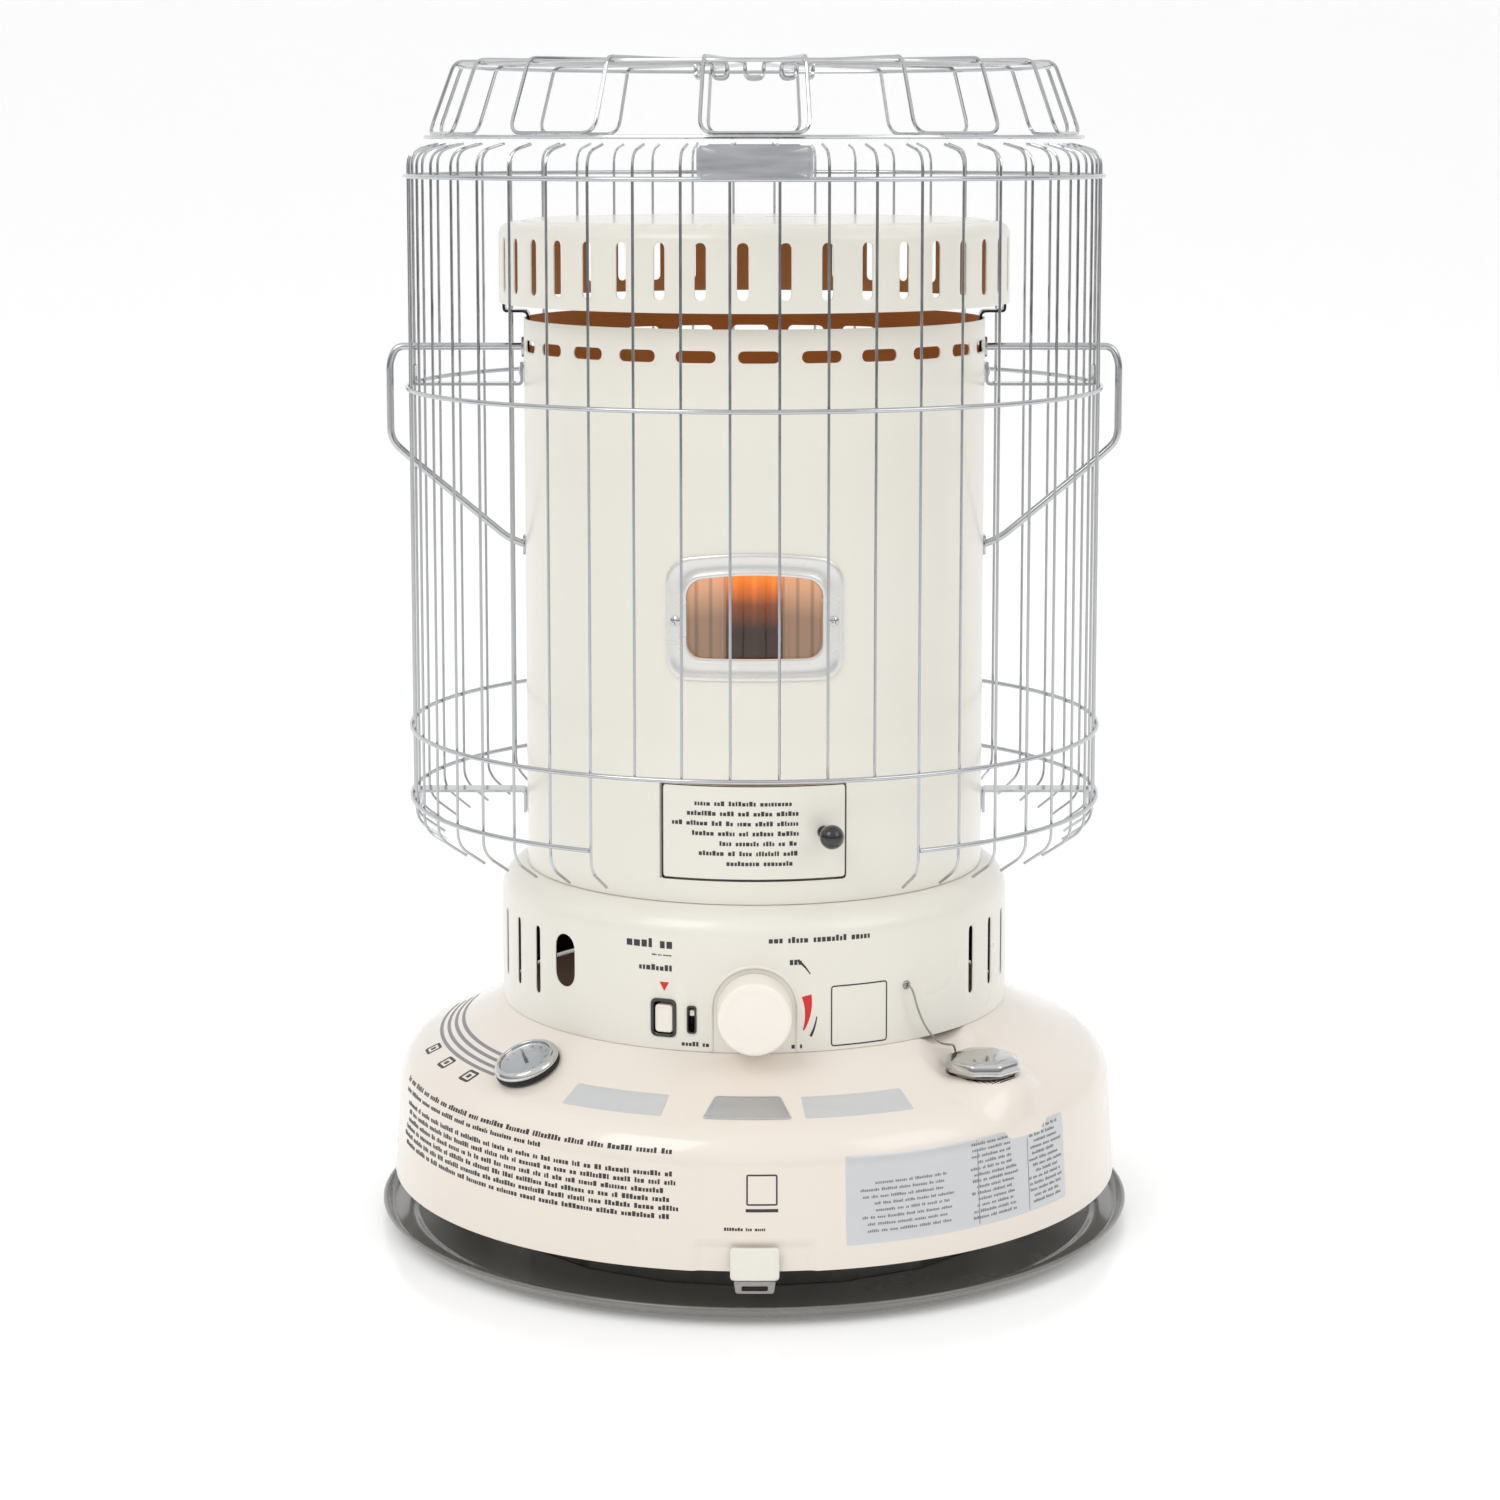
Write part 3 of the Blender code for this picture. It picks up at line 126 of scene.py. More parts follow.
def mottle(name, light, dark, patch, roughRange, grain, depth, stretch=(1, 1, 1), **sockets):
    # patch is the size of the colour's patches and grain that of the surface's bumps, both in mm;
    # depth is the bumps' height in mm
    material, tree, shader, place = newMaterial(name, **sockets)
    scaled = addNode(tree, "Mapping", {"Vector": place, "Scale": stretch}).outputs["Vector"]
    wide = addNode(tree, "TexNoise", {"Vector": scaled, "Scale": 1 / (patch * mm), "Detail": 3.0})
    blend = addNode(tree, "Mix", {0: wide.outputs["Fac"]}, data_type="RGBA")
    blend.inputs[6].default_value = linearColour(dark)
    blend.inputs[7].default_value = linearColour(light)
    tree.links.new(blend.outputs[2], shader.inputs["Base Color"])
    fine = addNode(tree, "TexNoise", {"Vector": scaled, "Scale": 1 / (grain * mm), "Detail": 2.0})
    rough = addNode(tree, "MapRange", {"Value": wide.outputs["Fac"], "From Min": 0.3, "From Max": 0.7,
                                       "To Min": roughRange[0], "To Max": roughRange[1]})
    tree.links.new(rough.outputs["Result"], shader.inputs["Roughness"])
    bump = addNode(tree, "Bump", {"Height": fine.outputs["Fac"], "Distance": depth * mm, "Strength": 1.0})
    tree.links.new(bump.outputs["Normal"], shader.inputs["Normal"])
    return material


# Vitreous enamel on pressed steel: an even cream gloss with a faint orange peel, its coat clear.
enamel = mottle("creamEnamel", "EAE7DD", "E7E3D8", 120, (0.27, 0.3), 4.0, 0.005,
                Coat_Weight=0.35, Coat_Roughness=0.08, IOR=1.5)
# The same enamel fired on the tank: a touch warmer and smoother, so it mirrors more of the room.
tankEnamel = mottle("tankEnamel", "EBE2D8", "E8DED2", 120, (0.22, 0.26), 4.0, 0.005,
                    Coat_Weight=0.5, Coat_Roughness=0.06, IOR=1.5)
# Gloss enamel of the tray: dark grey, with broad soft reflections.
trayEnamel = mottle("darkTrayEnamel", "75726C", "6B6862", 60, (0.24, 0.28), 4.0, 0.004,
                    Coat_Weight=0.6, Coat_Roughness=0.1, IOR=1.5)
# Nickel chrome on drawn wire: mid grey mirror, with draw marks that blur it a little.
chromeWire = mottle("chromeWire", "C6C8CA", "B4B6B9", 14, (0.1, 0.2), 0.8, 0.004, Metallic=1.0)
# Bright chrome on pressed parts: a clear mirror, lighter than the wire.
brightChrome = mottle("brightChrome", "D2D2D2", "C2C2C1", 20, (0.07, 0.14), 2.0, 0.004, Metallic=1.0)
# Plain pressed steel: dull grey, faintly streaked along the sheet.
plainSteel = mottle("plainSteel", "B2B0AB", "93908B", 12, (0.32, 0.48), 0.9, 0.01, (1, 1, 0.15), Metallic=1.0)
# Steel browned by heat: patchy orange brown, half dull, with a faint emission that is painted glow, the
# burner's light falling on it.
heatTintAndPaintedGlow = mottle("heatTintAndPaintedGlow", "C8A27A", "A8825C", 26, (0.4, 0.6), 1.5, 0.03, Metallic=0.1,
                     Emission_Strength=0.1, Emission_Color="A8783C")
# Sheet inside the cabinet and the tank, and the edge walls of the cabinet's openings: near black, painted
# shade of the unlit inside.
paintedShadeInside = mottle("paintedShadeInside", "201D1B", "131110", 20, (0.7, 0.85), 2.0, 0.03)
# Aluminium foil printed silver: satin, brushed across in fine streaks.
silverFoil = mottle("silverFoil", "D6D7D8", "CCCDCF", 9, (0.3, 0.42), 0.6, 0.006, (0.08, 1, 1), Metallic=0.35)
# Bare aluminium frame: paler than the foil and half polished.
frameMetal = mottle("frameMetal", "E4E3DF", "DAD9D5", 12, (0.2, 0.3), 0.6, 0.006, (0.08, 1, 1), Metallic=0.45)
# Brushed badge plate: darker satin aluminium with streaks round the plate.
badgeMetal = mottle("badgeMetal", "D2D3D6", "B9BBBF", 5, (0.28, 0.4), 0.5, 0.008, (0.1, 0.1, 1),
                    Metallic=0.95)
# Gloss black enamel or moulded phenolic: a hard small highlight on near black.
blackGloss = mottle("blackGloss", "1A1A1B", "0E0E0F", 15, (0.15, 0.24), 1.5, 0.006,
                    Coat_Weight=0.6, Coat_Roughness=0.05)
# Nitrile rubber: matt black with a fine grain.
rubber = mottle("blackRubber", "1C1C1C", "121212", 8, (0.6, 0.75), 0.6, 0.02)
# Moulded ABS in cream: softer than the enamel, with a very fine spark-eroded grain.
creamPlastic = mottle("creamPlastic", "F6F1E8", "F1EADF", 30, (0.3, 0.38), 0.7, 0.008,
                      Subsurface_Weight=0.08, Subsurface_Scale=0.003, IOR=1.46)
# Brass, as cast and turned: warm yellow with slight tarnish.
brass = mottle("turnedBrass", "C8A55C", "A98541", 8, (0.25, 0.4), 0.8, 0.01, Metallic=1.0)
# Cork: brown granules a few millimetres across.
cork = mottle("cork", "B98A56", "7E5630", 3, (0.75, 0.9), 1.8, 0.25)
# Screen printing ink: thin, flat and a little glossy.
blackInk, greyInk, redInk = (mottle(name, light, dark, 6, (0.4, 0.5), 1.0, 0.003) for name, light, dark in (
    ("blackInk", "3A3A3C", "2C2C2E"), ("greyInk", "8E8E90", "7E7E81"), ("redInk", "E0262A", "CC1E20")))


def weaveMaterial():
    # Woven glass-fibre wick: off-white cords about 1.2 mm apart, round and up
    material, tree, shader, place = newMaterial("wickWeave", Roughness=0.9)
    wave = {"Vector": place, "Scale": 2 * np.pi / (20 * 1.2 * mm), "Distortion": 0.6, "Detail": 1.0}
    up = addNode(tree, "TexWave", wave, bands_direction="Z")
    across = addNode(tree, "TexWave", wave, bands_direction="DIAGONAL")
    both = addNode(tree, "Math", {0: up.outputs["Fac"], 1: across.outputs["Fac"]}, operation="MULTIPLY")
    blend = addNode(tree, "Mix", {0: both.outputs[0]}, data_type="RGBA")
    blend.inputs[6].default_value = linearColour("B9AE96")
    blend.inputs[7].default_value = linearColour("EEE8D8")
    tree.links.new(blend.outputs[2], shader.inputs["Base Color"])
    bump = addNode(tree, "Bump", {"Height": both.outputs[0], "Distance": 0.3 * mm})
    tree.links.new(bump.outputs["Normal"], shader.inputs["Normal"])
    return material


def glowMaterial(name, low, high, colours, strength, spacing, seam):
    # Emission for what shows through the window, the hot tube's own glow and on the lining painted light from
    # the tube:
    # colours run from low to high, and upright seams spacing mm apart multiply the colour by seam
    material, tree, shader, place = newMaterial(name, Roughness=0.6, Emission_Strength=strength)
    split = addNode(tree, "SeparateXYZ", {"Vector": place}).outputs
    share = addNode(tree, "MapRange", {"Value": split["Z"], "From Min": low * mm, "From Max": high * mm})
    ramp = addNode(tree, "ValToRGB", {"Fac": share.outputs["Result"]})
    marks = ramp.color_ramp.elements
    while len(marks) < len(colours):
        marks.new(0.5)
    for mark, (position, code) in zip(marks, colours):
        mark.position = position
        mark.color = linearColour(code)
    turn = addNode(tree, "Math", {0: split["X"], 1: 2 * np.pi / (spacing * mm)}, operation="MULTIPLY")
    wave = addNode(tree, "Math", {0: turn.outputs[0]}, operation="COSINE")
    band = addNode(tree, "MapRange", {"Value": wave.outputs[0], "From Min": 0.55, "From Max": 0.95,
                                      "To Min": 1.0, "To Max": seam})
    tint = addNode(tree, "VectorMath", {0: ramp.outputs["Color"], "Scale": band.outputs["Result"]},
                   operation="SCALE")
    for socket in ("Base Color", "Emission Color"):
        tree.links.new(tint.outputs[0], shader.inputs[socket])
    return material


wickWeave = weaveMaterial()
# Clear glass: its own colour barely shows, and the room's light does.
windowGlass, domeGlass = (
    newMaterial(name, Base_Color=tint, Roughness=rough, IOR=1.45, Transmission_Weight=1.0,
                Specular_IOR_Level=0.2)[0]
    for name, tint, rough in (("windowGlass", "FFF6EC", 0.03), ("gaugeGlass", "FAFCFD", 0.02)))
print("materials made")


# Shapes.
def onCircle(angle, radius, height):
    # point at radius from the axis: x = r sin(angle), y = -r cos(angle)
    turn = np.radians(angle)
    return np.stack(np.broadcast_arrays(radius * np.sin(turn), -radius * np.cos(turn), height), -1)


def at(angle, radius=0.0, height=0.0, tilt=0.0):
    # frame on the heater's side: local -Y points out, and local Z leans out by tilt
    turn = Matrix.Rotation(np.radians(angle), 4, "Z")
    return turn @ Matrix.Translation((0, -radius, height)) @ Matrix.Rotation(np.radians(tilt), 4, "X")


def placed(points, matrix):
    grid = np.array(matrix)
    return np.asarray(points, float) @ grid[:3, :3].T + grid[:3, 3]


def gridFaces(rows, across, closedRows=False, closedAcross=True):
    # each face joins (i, j), (i, j+1), (i+1, j+1) and (i+1, j)
    i = np.arange(rows if closedRows else rows - 1)[:, None]
    j = np.arange(across if closedAcross else across - 1)[None, :]
    k, n = (j + 1) % across, (i + 1) % rows
    corners = (i * across + j, i * across + k, n * across + k, n * across + j)
    return np.stack(np.broadcast_arrays(*corners), -1).reshape(-1, 4)


class Parts:
    # gathers points and faces of several surfaces that become one mesh
    def __init__(self):
        self.points, self.faces, self.paints, self.count = [], [], [], 0

    def add(self, points, faces, paint=0):
        points = np.asarray(points, float).reshape(-1, 3)
        self.points.append(points)
        self.faces += [[int(i) + self.count for i in face] for face in faces]
        self.paints += list(paint) if np.ndim(paint) else [paint] * len(faces)
        self.count += len(points)
        return self


def makePiece(name, parts, materials, node=None, body="heater", crease=38, weld=True):
    # node is the CAD node that the piece stands for, and it is hidden
    mesh = bpy.data.meshes.new(name)
    mesh.from_pydata((np.concatenate(parts.points) * mm).tolist(), [], parts.faces)
    materials = materials if isinstance(materials, list) else [materials]
    for material in materials:
        mesh.materials.append(material)
    mesh.polygons.foreach_set("material_index", parts.paints)
    work = bmesh.new()
    work.from_mesh(mesh)
    if weld:
        bmesh.ops.remove_doubles(work, verts=work.verts, dist=2e-6)
    bmesh.ops.recalc_face_normals(work, faces=work.faces)
    work.to_mesh(mesh)
    work.free()
    mesh.shade_smooth()
    mesh.set_sharp_from_angle(angle=np.radians(crease))
    piece = bpy.data.objects.new(name, mesh)
    bpy.context.scene.collection.objects.link(piece)
    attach(piece, body)
    if node:
        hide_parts(node)


def softened(path, cut, steps=5, closed=False):
    # each corner becomes a quadratic curve between points cut away from it: (1-t)^2 a + 2t(1-t) b + t^2 c
    path = np.asarray(path, float)
    before, after = np.roll(path, 1, 0), np.roll(path, -1, 0)
    reach = np.minimum(np.linalg.norm(path - before, axis=1), np.linalg.norm(path - after, axis=1)) * 0.49
    cut = np.minimum(np.broadcast_to(cut, reach.shape), reach)[:, None]
    a = path + (before - path) / np.maximum(np.linalg.norm(before - path, axis=1), 1e-9)[:, None] * cut
    c = path + (after - path) / np.maximum(np.linalg.norm(after - path, axis=1), 1e-9)[:, None] * cut
    t = np.linspace(0, 1, steps)[None, :, None]
    curves = (1 - t) ** 2 * a[:, None] + 2 * t * (1 - t) * path[:, None] + t ** 2 * c[:, None]
    if closed:
        return curves.reshape(-1, path.shape[1])
    return np.vstack([path[:1], curves[1:-1].reshape(-1, path.shape[1]), path[-1:]])


def inset(profile, thick):
    # the profile moved by thick to the left of its travel, with mitred corners
    profile = np.asarray(profile, float)
    along = np.diff(profile, axis=0)
    normals = np.stack([-along[:, 1], along[:, 0]], 1) / np.linalg.norm(along, axis=1)[:, None]
    mitres = np.vstack([normals[:1], normals[:-1] + normals[1:], normals[-1:]])
    facing = np.vstack([normals, normals[-1:]])
    return profile + mitres / np.sum(mitres * facing, axis=1)[:, None] * thick


def turned(outline, steps=120, matrix=None):
    # a closed (radius, height) outline turned about the axis
    outline = np.asarray(outline, float)
    angles = np.arange(steps) * 360 / steps
    points = onCircle(angles[None], outline[:, :1], outline[:, 1:]).reshape(-1, 3)
    if matrix is not None:
        points = placed(points, matrix)
    return Parts().add(points, gridFaces(len(outline), steps, closedRows=True))


def rounded(radius, base, bend, end, steps):
    # an arc that leaves an upright wall: r = radius - bend + bend cos a, z = base + bend sin a
    turn = np.radians(np.linspace(0, end, steps))
    return np.stack([radius - bend + bend * np.cos(turn), base + bend * np.sin(turn)], 1)


def ends(rows, count):
    # the two faces that close a tube of rows rings with count points each
    return [list(range(count)), list(range((rows - 1) * count, rows * count))]


def rods(paths, radius, sides=8, closed=False):
    # a circle carried along each path: point + radius (cos a across + sin a up); across starts
    # square to the path and loses only its share along the path from one point to the next
    paths = np.asarray(paths, float)
    ahead = np.roll(paths, -1, 1) - np.roll(paths, 1, 1) if closed else np.gradient(paths, axis=1)
    ahead /= np.linalg.norm(ahead, axis=2, keepdims=True)
    across = np.zeros_like(ahead)
    hint = np.where(np.abs(ahead[:, 0, 2:]) > 0.8, (0.31, 0.95, 0.0), (0.0, 0.0, 1.0))
    for k in range(paths.shape[1]):
        hint = hint - np.sum(hint * ahead[:, k], 1, keepdims=True) * ahead[:, k]
        hint /= np.linalg.norm(hint, axis=1, keepdims=True)
        across[:, k] = hint
    up = np.cross(ahead, across)
    turn = np.linspace(0, 2 * np.pi, sides, endpoint=False)[:, None]
    ring = radius * (np.cos(turn) * across[:, :, None] + np.sin(turn) * up[:, :, None])
    points = paths[:, :, None] + ring
    stations = paths.shape[1]
    parts = Parts()
    for block in points:
        faces = gridFaces(stations, sides, closedRows=closed).tolist()
        if not closed:
            faces += ends(stations, sides)
        parts.add(block, faces)
    return parts


def joined(*several):
    total = Parts()
    for parts in several:
        for points in parts.points:
            total.points.append(points)
        total.faces += [[i + total.count for i in face] for face in parts.faces]
        total.paints += parts.paints
        total.count += parts.count
    return total


def arcPath(radius, height, start, end, steps=90):
    return onCircle(np.linspace(start, end, steps), radius, height)


def outlineOf(width, height, corner, across, up, arch=0.0):
    # rounded rectangle about its centre, counterclockwise from the lower left corner's middle;
    # each side is sampled with cosine spacing, so points gather at the corners
    halfW, halfH = width / 2 - corner, height / 2 - corner
    a = np.radians(np.linspace(0, 90, 25))
    loops = []
    for k, (x, y) in enumerate(((-halfW, -halfH), (halfW, -halfH), (halfW, halfH), (-halfW, halfH))):
        turn = a + np.pi * (1 + k / 2)
        loops.append(np.stack([x + corner * np.cos(turn), y + corner * np.sin(turn)], 1))
    points = []
    for k, count in enumerate((across, up, across, up)):
        side = np.vstack([loops[k][12:], loops[(k + 1) % 4][:13]])
        length = np.concatenate([[0], np.cumsum(np.linalg.norm(np.diff(side, axis=0), axis=1))])
        share = (1 - np.cos(np.pi * np.arange(count) / count)) / 2 * length[-1]
        points.append(np.stack([np.interp(share, length, side[:, i]) for i in (0, 1)], 1))
    points = np.vstack(points)
    rise = arch * (1 - (points[:, 0] / (width / 2)) ** 2) * np.clip(points[:, 1] / (height / 2), 0, 1)
    points[:, 1] += rise - arch / 2 * np.clip(points[:, 1] / (height / 2), 0, 1)
    return points


def outward(outline, amount):
    # each point moved out along its own normal, the turn of the tangent by a right angle
    tangent = np.roll(outline, -1, 0) - np.roll(outline, 1, 0)
    tangent /= np.linalg.norm(tangent, axis=1)[:, None]
    return outline + np.stack([tangent[:, 1], -tangent[:, 0]], 1) * amount


# Round shells with holes.
def holedSpan(parts, radius, low, high, holes, rows, thick):
    # round each hole, rings run from its cell's edge to its outline: edge + (outline - edge) share;
    # elsewhere the wall is a plain grid. Both sides of the wall lie on cylinders
    taken = np.zeros(columns, bool)
    for hole in holes:
        first, last = (int(round(a / step)) for a in hole["cell"])
        across = last - first
        outline = outlineOf(*hole["size"], hole["corner"], across, rows, hole.get("arch", 0))
        level = np.linspace(low, high, rows + 1)
        side = np.linspace(first, last, across + 1) * step
        edge = np.vstack([
            np.stack([side[:-1], np.full(across, low)], 1),
            np.stack([np.full(rows, side[-1]), level[:-1]], 1),
            np.stack([side[:0:-1], np.full(across, high)], 1),
            np.stack([np.full(rows, side[0]), level[:0:-1]], 1),
        ])
        lip, eased, rim = (
            np.stack([hole["angle"] + np.degrees(shape[:, 0] / radius), hole["height"] + shape[:, 1]], 1)
            for shape in (outward(outline, 0.5), outward(outline, 0.1), outline))
        rings = ((edge, 0), ((lip + edge) / 2, 0), (lip, 0), (eased, 0.2), (rim, 0.6), (rim, thick),
                 ((rim + edge) / 2, thick), (edge, thick))
        points = np.stack([onCircle(shape[:, 0], radius - deep, shape[:, 1]) for shape, deep in rings])
        faces = gridFaces(len(rings), len(edge))
        # faces from ring creamRings on take the inner finish; where that is 4, the hole's edge wall is
        # painted with it as shade
        paint = (np.arange(len(faces)) >= hole.get("creamRings", 5) * len(edge)).astype(int)
        parts.add(points, faces, paint)
        taken[np.arange(first, last) % columns] = True
    level = np.linspace(low, high, rows + 1)
    free = np.flatnonzero(~taken)
    for deep, paint in ((0, 0), (thick, 1)):
        left = onCircle(free[:, None] * step, radius - deep, level[None])
        right = onCircle((free[:, None] + 1) * step, radius - deep, level[None])
        points = np.stack([left, right], 2).reshape(-1, 3)
        for block in range(len(free)):
            parts.add(points[block * 2 * (rows + 1):(block + 1) * 2 * (rows + 1)],
                      gridFaces(rows + 1, 2, closedAcross=False), paint)


def shellParts(profile, spans, thick):
    # profile is the outer (radius, height) path, bottom edge first; spans maps the index of an
    # upright stretch to its (holes, rows)
    profile = np.asarray(profile, float)
    inner = inset(profile, thick)
    inner[:, 0] = np.maximum(inner[:, 0], 0)
    parts = Parts()
    angles = np.arange(columns) * step
    for path, paint in ((profile, 0), (inner, 1)):
        for k in range(len(path) - 1):
            if k not in spans:
                pair = path[k:k + 2]
                parts.add(onCircle(angles[None], pair[:, :1], pair[:, 1:]), gridFaces(2, columns), paint)
    for k, (holes, rows) in spans.items():
        holedSpan(parts, profile[k, 0], profile[k, 1], profile[k + 1, 1], holes, rows, thick)
    for end in (0, -1):
        if profile[end, 0] > 0.01:
            rim = np.array([profile[end], inner[end]])
            parts.add(onCircle(angles[None], rim[:, :1], rim[:, 1:]), gridFaces(2, columns), 0)
    return parts


def holeRing(count, first, before, after, **hole):
    # equal holes round the wall; each cell runs from before to after its own share of the circle
    return [{**hole, "cell": (a - before, a + after), "angle": a + first}
            for a in np.arange(count) * 360 / count]


hat = {"slots": 40, "first": -2.5, "size": (6.4, 32.0), "corner": 3.1, "lift": 7.0, "edge": 7.5,
       "step": 138, "dish": 1.6, "thick": 1.0, "margins": (3.5, 0.7)}


def topHat():
    slotTop = hatLow + hat["lift"] + hat["size"][1]
    flat, edge = hatHigh - hat["dish"], hat["edge"]
    heights = (hatLow, hatLow + hat["margins"][0], slotTop + hat["margins"][1])
    profile = [(hatRadius, z) for z in heights]
    profile += rounded(hatRadius, flat - edge, edge, 90, 12).tolist()
    profile += softened([(hat["step"] + 4, flat), (hat["step"] + 1.5, flat), (hat["step"] - 1.5, hatHigh),
                         (hat["step"] - 5, hatHigh)], 2.0, 6).tolist()
    profile += [(100, hatHigh), (50, hatHigh), (0, hatHigh)]
    holes = holeRing(hat["slots"], hat["first"], 7.5, 1.5, size=hat["size"], corner=hat["corner"],
                     height=hatLow + hat["lift"] + hat["size"][1] / 2)
    makePiece("topHat", shellParts(profile, {1: (holes, 12)}, hat["thick"]), [enamel, heatTintAndPaintedGlow], "top_hat")


chamber = {"slots": 24, "first": 1.0, "size": (23.3, 6.8), "corner": 3.2, "drop": 15.5, "thick": 1.0,
           "windowUp": 164.3, "window": (78.9, 47.0), "windowCorner": 9.0, "windowArch": 4.0,
           "doorUp": 41.3, "door": (108.9, 56.2), "doorCorner": 2.0, "doorAngle": -0.25}
windowZ, doorZ = chamberLow + chamber["windowUp"], chamberLow + chamber["doorUp"]


def chamberShell():
    slotZ = chamberHigh - chamber["drop"]
    doorHalf, windowHalf = chamber["door"][1] / 2 + 5, chamber["window"][1] / 2 + 8
    heights = [chamberLow, doorZ - doorHalf, doorZ + doorHalf, windowZ - windowHalf, windowZ + windowHalf,
               slotZ - 8, slotZ + 8, chamberHigh]
    slots = holeRing(chamber["slots"], chamber["first"], 6, 9, size=chamber["size"], height=slotZ,
                     corner=chamber["corner"])
    opening = {"cell": (-21, 21), "angle": 0, "size": chamber["window"], "height": windowZ,
               "corner": chamber["windowCorner"], "arch": chamber["windowArch"]}
    # its edge wall takes the inner finish: painted shade in the gap round the door
    doorway = {"cell": (-27, 27), "angle": chamber["doorAngle"], "size": chamber["door"], "height": doorZ,
               "corner": chamber["doorCorner"], "creamRings": 4}
    spans = {1: ([doorway], 16), 3: ([opening], 16), 5: (slots, 6)}
    shell = shellParts([(chamberRadius, z) for z in heights], spans, chamber["thick"])
    makePiece("chamberShell", shell, [enamel, heatTintAndPaintedGlow], "chamber")


cabinet = {"shoulder": 17.0, "neck": 123.5, "thick": 1.2,
           "oval": (16.6, 31.0), "ovalAngle": -46.0, "ovalUp": 42.5,
           "vents": 10, "vent": (4.6, 40.0), "ventUp": 38.0, "ventStart": 56.0, "ventPitch": 9.5,
           "button": (14.5, 21.0), "buttonAngle": -19.8, "buttonUp": 18.3,
           "flag": (4.5, 15.1), "flagAngle": -13.5}
buttonZ = cabinetLow + cabinet["buttonUp"]


def cabinetShell():
    r, bend = cabinetRadius, cabinet["shoulder"]
    # the oval's and the vents' edge walls take the near-black inner finish: painted shade in the openings
    holes = [{"cell": (-51, -40.5), "angle": cabinet["ovalAngle"], "size": cabinet["oval"],
              "height": cabinetLow + cabinet["ovalUp"], "corner": 8.2, "creamRings": 4},
             {"cell": (-24, -16.5), "angle": cabinet["buttonAngle"], "size": cabinet["button"],
              "height": buttonZ, "corner": 3.0},
             {"cell": (-16.5, -10.5), "angle": cabinet["flagAngle"], "size": cabinet["flag"],
              "height": buttonZ, "corner": 1.2}]
    for side in (-1, 1):
        for i in range(cabinet["vents"]):
            angle = cabinet["ventStart"] + cabinet["ventPitch"] * i
            cell = sorted(side * (angle + half * cabinet["ventPitch"] / 2) for half in (-1, 1))
            holes.append({"cell": cell, "angle": side * angle, "size": cabinet["vent"],
                          "height": cabinetLow + cabinet["ventUp"], "corner": 2.2, "creamRings": 4})
    profile = [(r, cabinetLow), (r, cabinetLow + 4), (r, cabinetHigh - bend - 1.5)]
    profile += rounded(r, cabinetHigh - bend, bend, 90, 14).tolist() + [(cabinet["neck"], cabinetHigh)]
    makePiece("cabinetShell", shellParts(profile, {1: (holes, 12)}, cabinet["thick"]), [enamel, paintedShadeInside],
              "cabinet")


topHat()
chamberShell()
cabinetShell()
print("chamber, hat and cabinet made")


# Fuel tank.
tank = {"flare": 3.5, "wall": 55.0, "shoulder": 26.5, "sweep": 66.0, "slopeStart": 0.43, "slopeEnd": 0.78,
        "thick": 1.2, "padRadius": 20.0, "padBlend": 18.0, "recessHalf": 31.0, "recessTop": 43.5,
        "recess": 1.5, "wallRings": 23, "shoulderRings": 16, "columns": 480}
cap = {"angle": 46.2, "out": 29.5, "radius": 22.6, "height": 8.6, "lift": 2.0}
tankRadius = tankEdge - tank["flare"]
capCentre = onCircle(cap["angle"], cabinetRadius + cap["out"], 0)[:2]
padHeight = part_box("tether_collar")[0].z / mm - 0.3


def tankProfile():
    # wall, shoulder arc, then a quadratic curve between two set slopes up to the cabinet
    startSlope, endSlope = tank["slopeStart"], tank["slopeEnd"]
    shoulder = rounded(tankRadius, tankLow + tank["wall"], tank["shoulder"], tank["sweep"],
                       tank["shoulderRings"])
    first, last = shoulder[-1], np.array((cabinetRadius, tankHigh))
    run = (endSlope * (first[0] - last[0]) - (last[1] - first[1])) / (endSlope - startSlope)
    control = first + (-run, startSlope * run)
    t = np.linspace(0, 1, 40)[1:, None]
    slope = (1 - t) ** 2 * first + 2 * t * (1 - t) * control + t ** 2 * last
    t = np.linspace(0, 1, tank["wallRings"] + 1)[:-1, None]
    wall = np.array((tankEdge, tankLow)) * (1 - t) + shoulder[0] * t
    return np.vstack([wall, shoulder, slope, [(cabinetRadius - 12, tankHigh), (62, tankHigh)]])


def smooth(value):
    value = np.clip(value, 0, 1)
    return value * value * (3 - 2 * value)


def slopeHeight(radius):
    # height of the slope alone, without the wall, the shoulder and what is inside the cabinet
    path = tankProfile()[tank["wallRings"] + tank["shoulderRings"]:-2][::-1]
    return float(np.interp(radius, path[:, 0], path[:, 1]))


def pressed(points):
    # the flat pad under the cap and the shallow panel behind the front tab, both blended in
    away = np.linalg.norm(points[..., :2] - capCentre, axis=-1)
    share = smooth((tank["padRadius"] + tank["padBlend"] - away) / tank["padBlend"])
    points[..., 2] += (padHeight - points[..., 2]) * share * (points[..., 2] > tankLow + tank["wall"])
    x, z = np.abs(points[..., 0]), points[..., 2]
    share = smooth((tank["recessHalf"] + 2 - x) / 2) * smooth((tank["recessTop"] + 2 - z) / 2)
    share *= points[..., 1] < 0
    radius = np.linalg.norm(points[..., :2], axis=-1, keepdims=True)
    points[..., :2] *= 1 - share[..., None] * tank["recess"] / radius
    return points


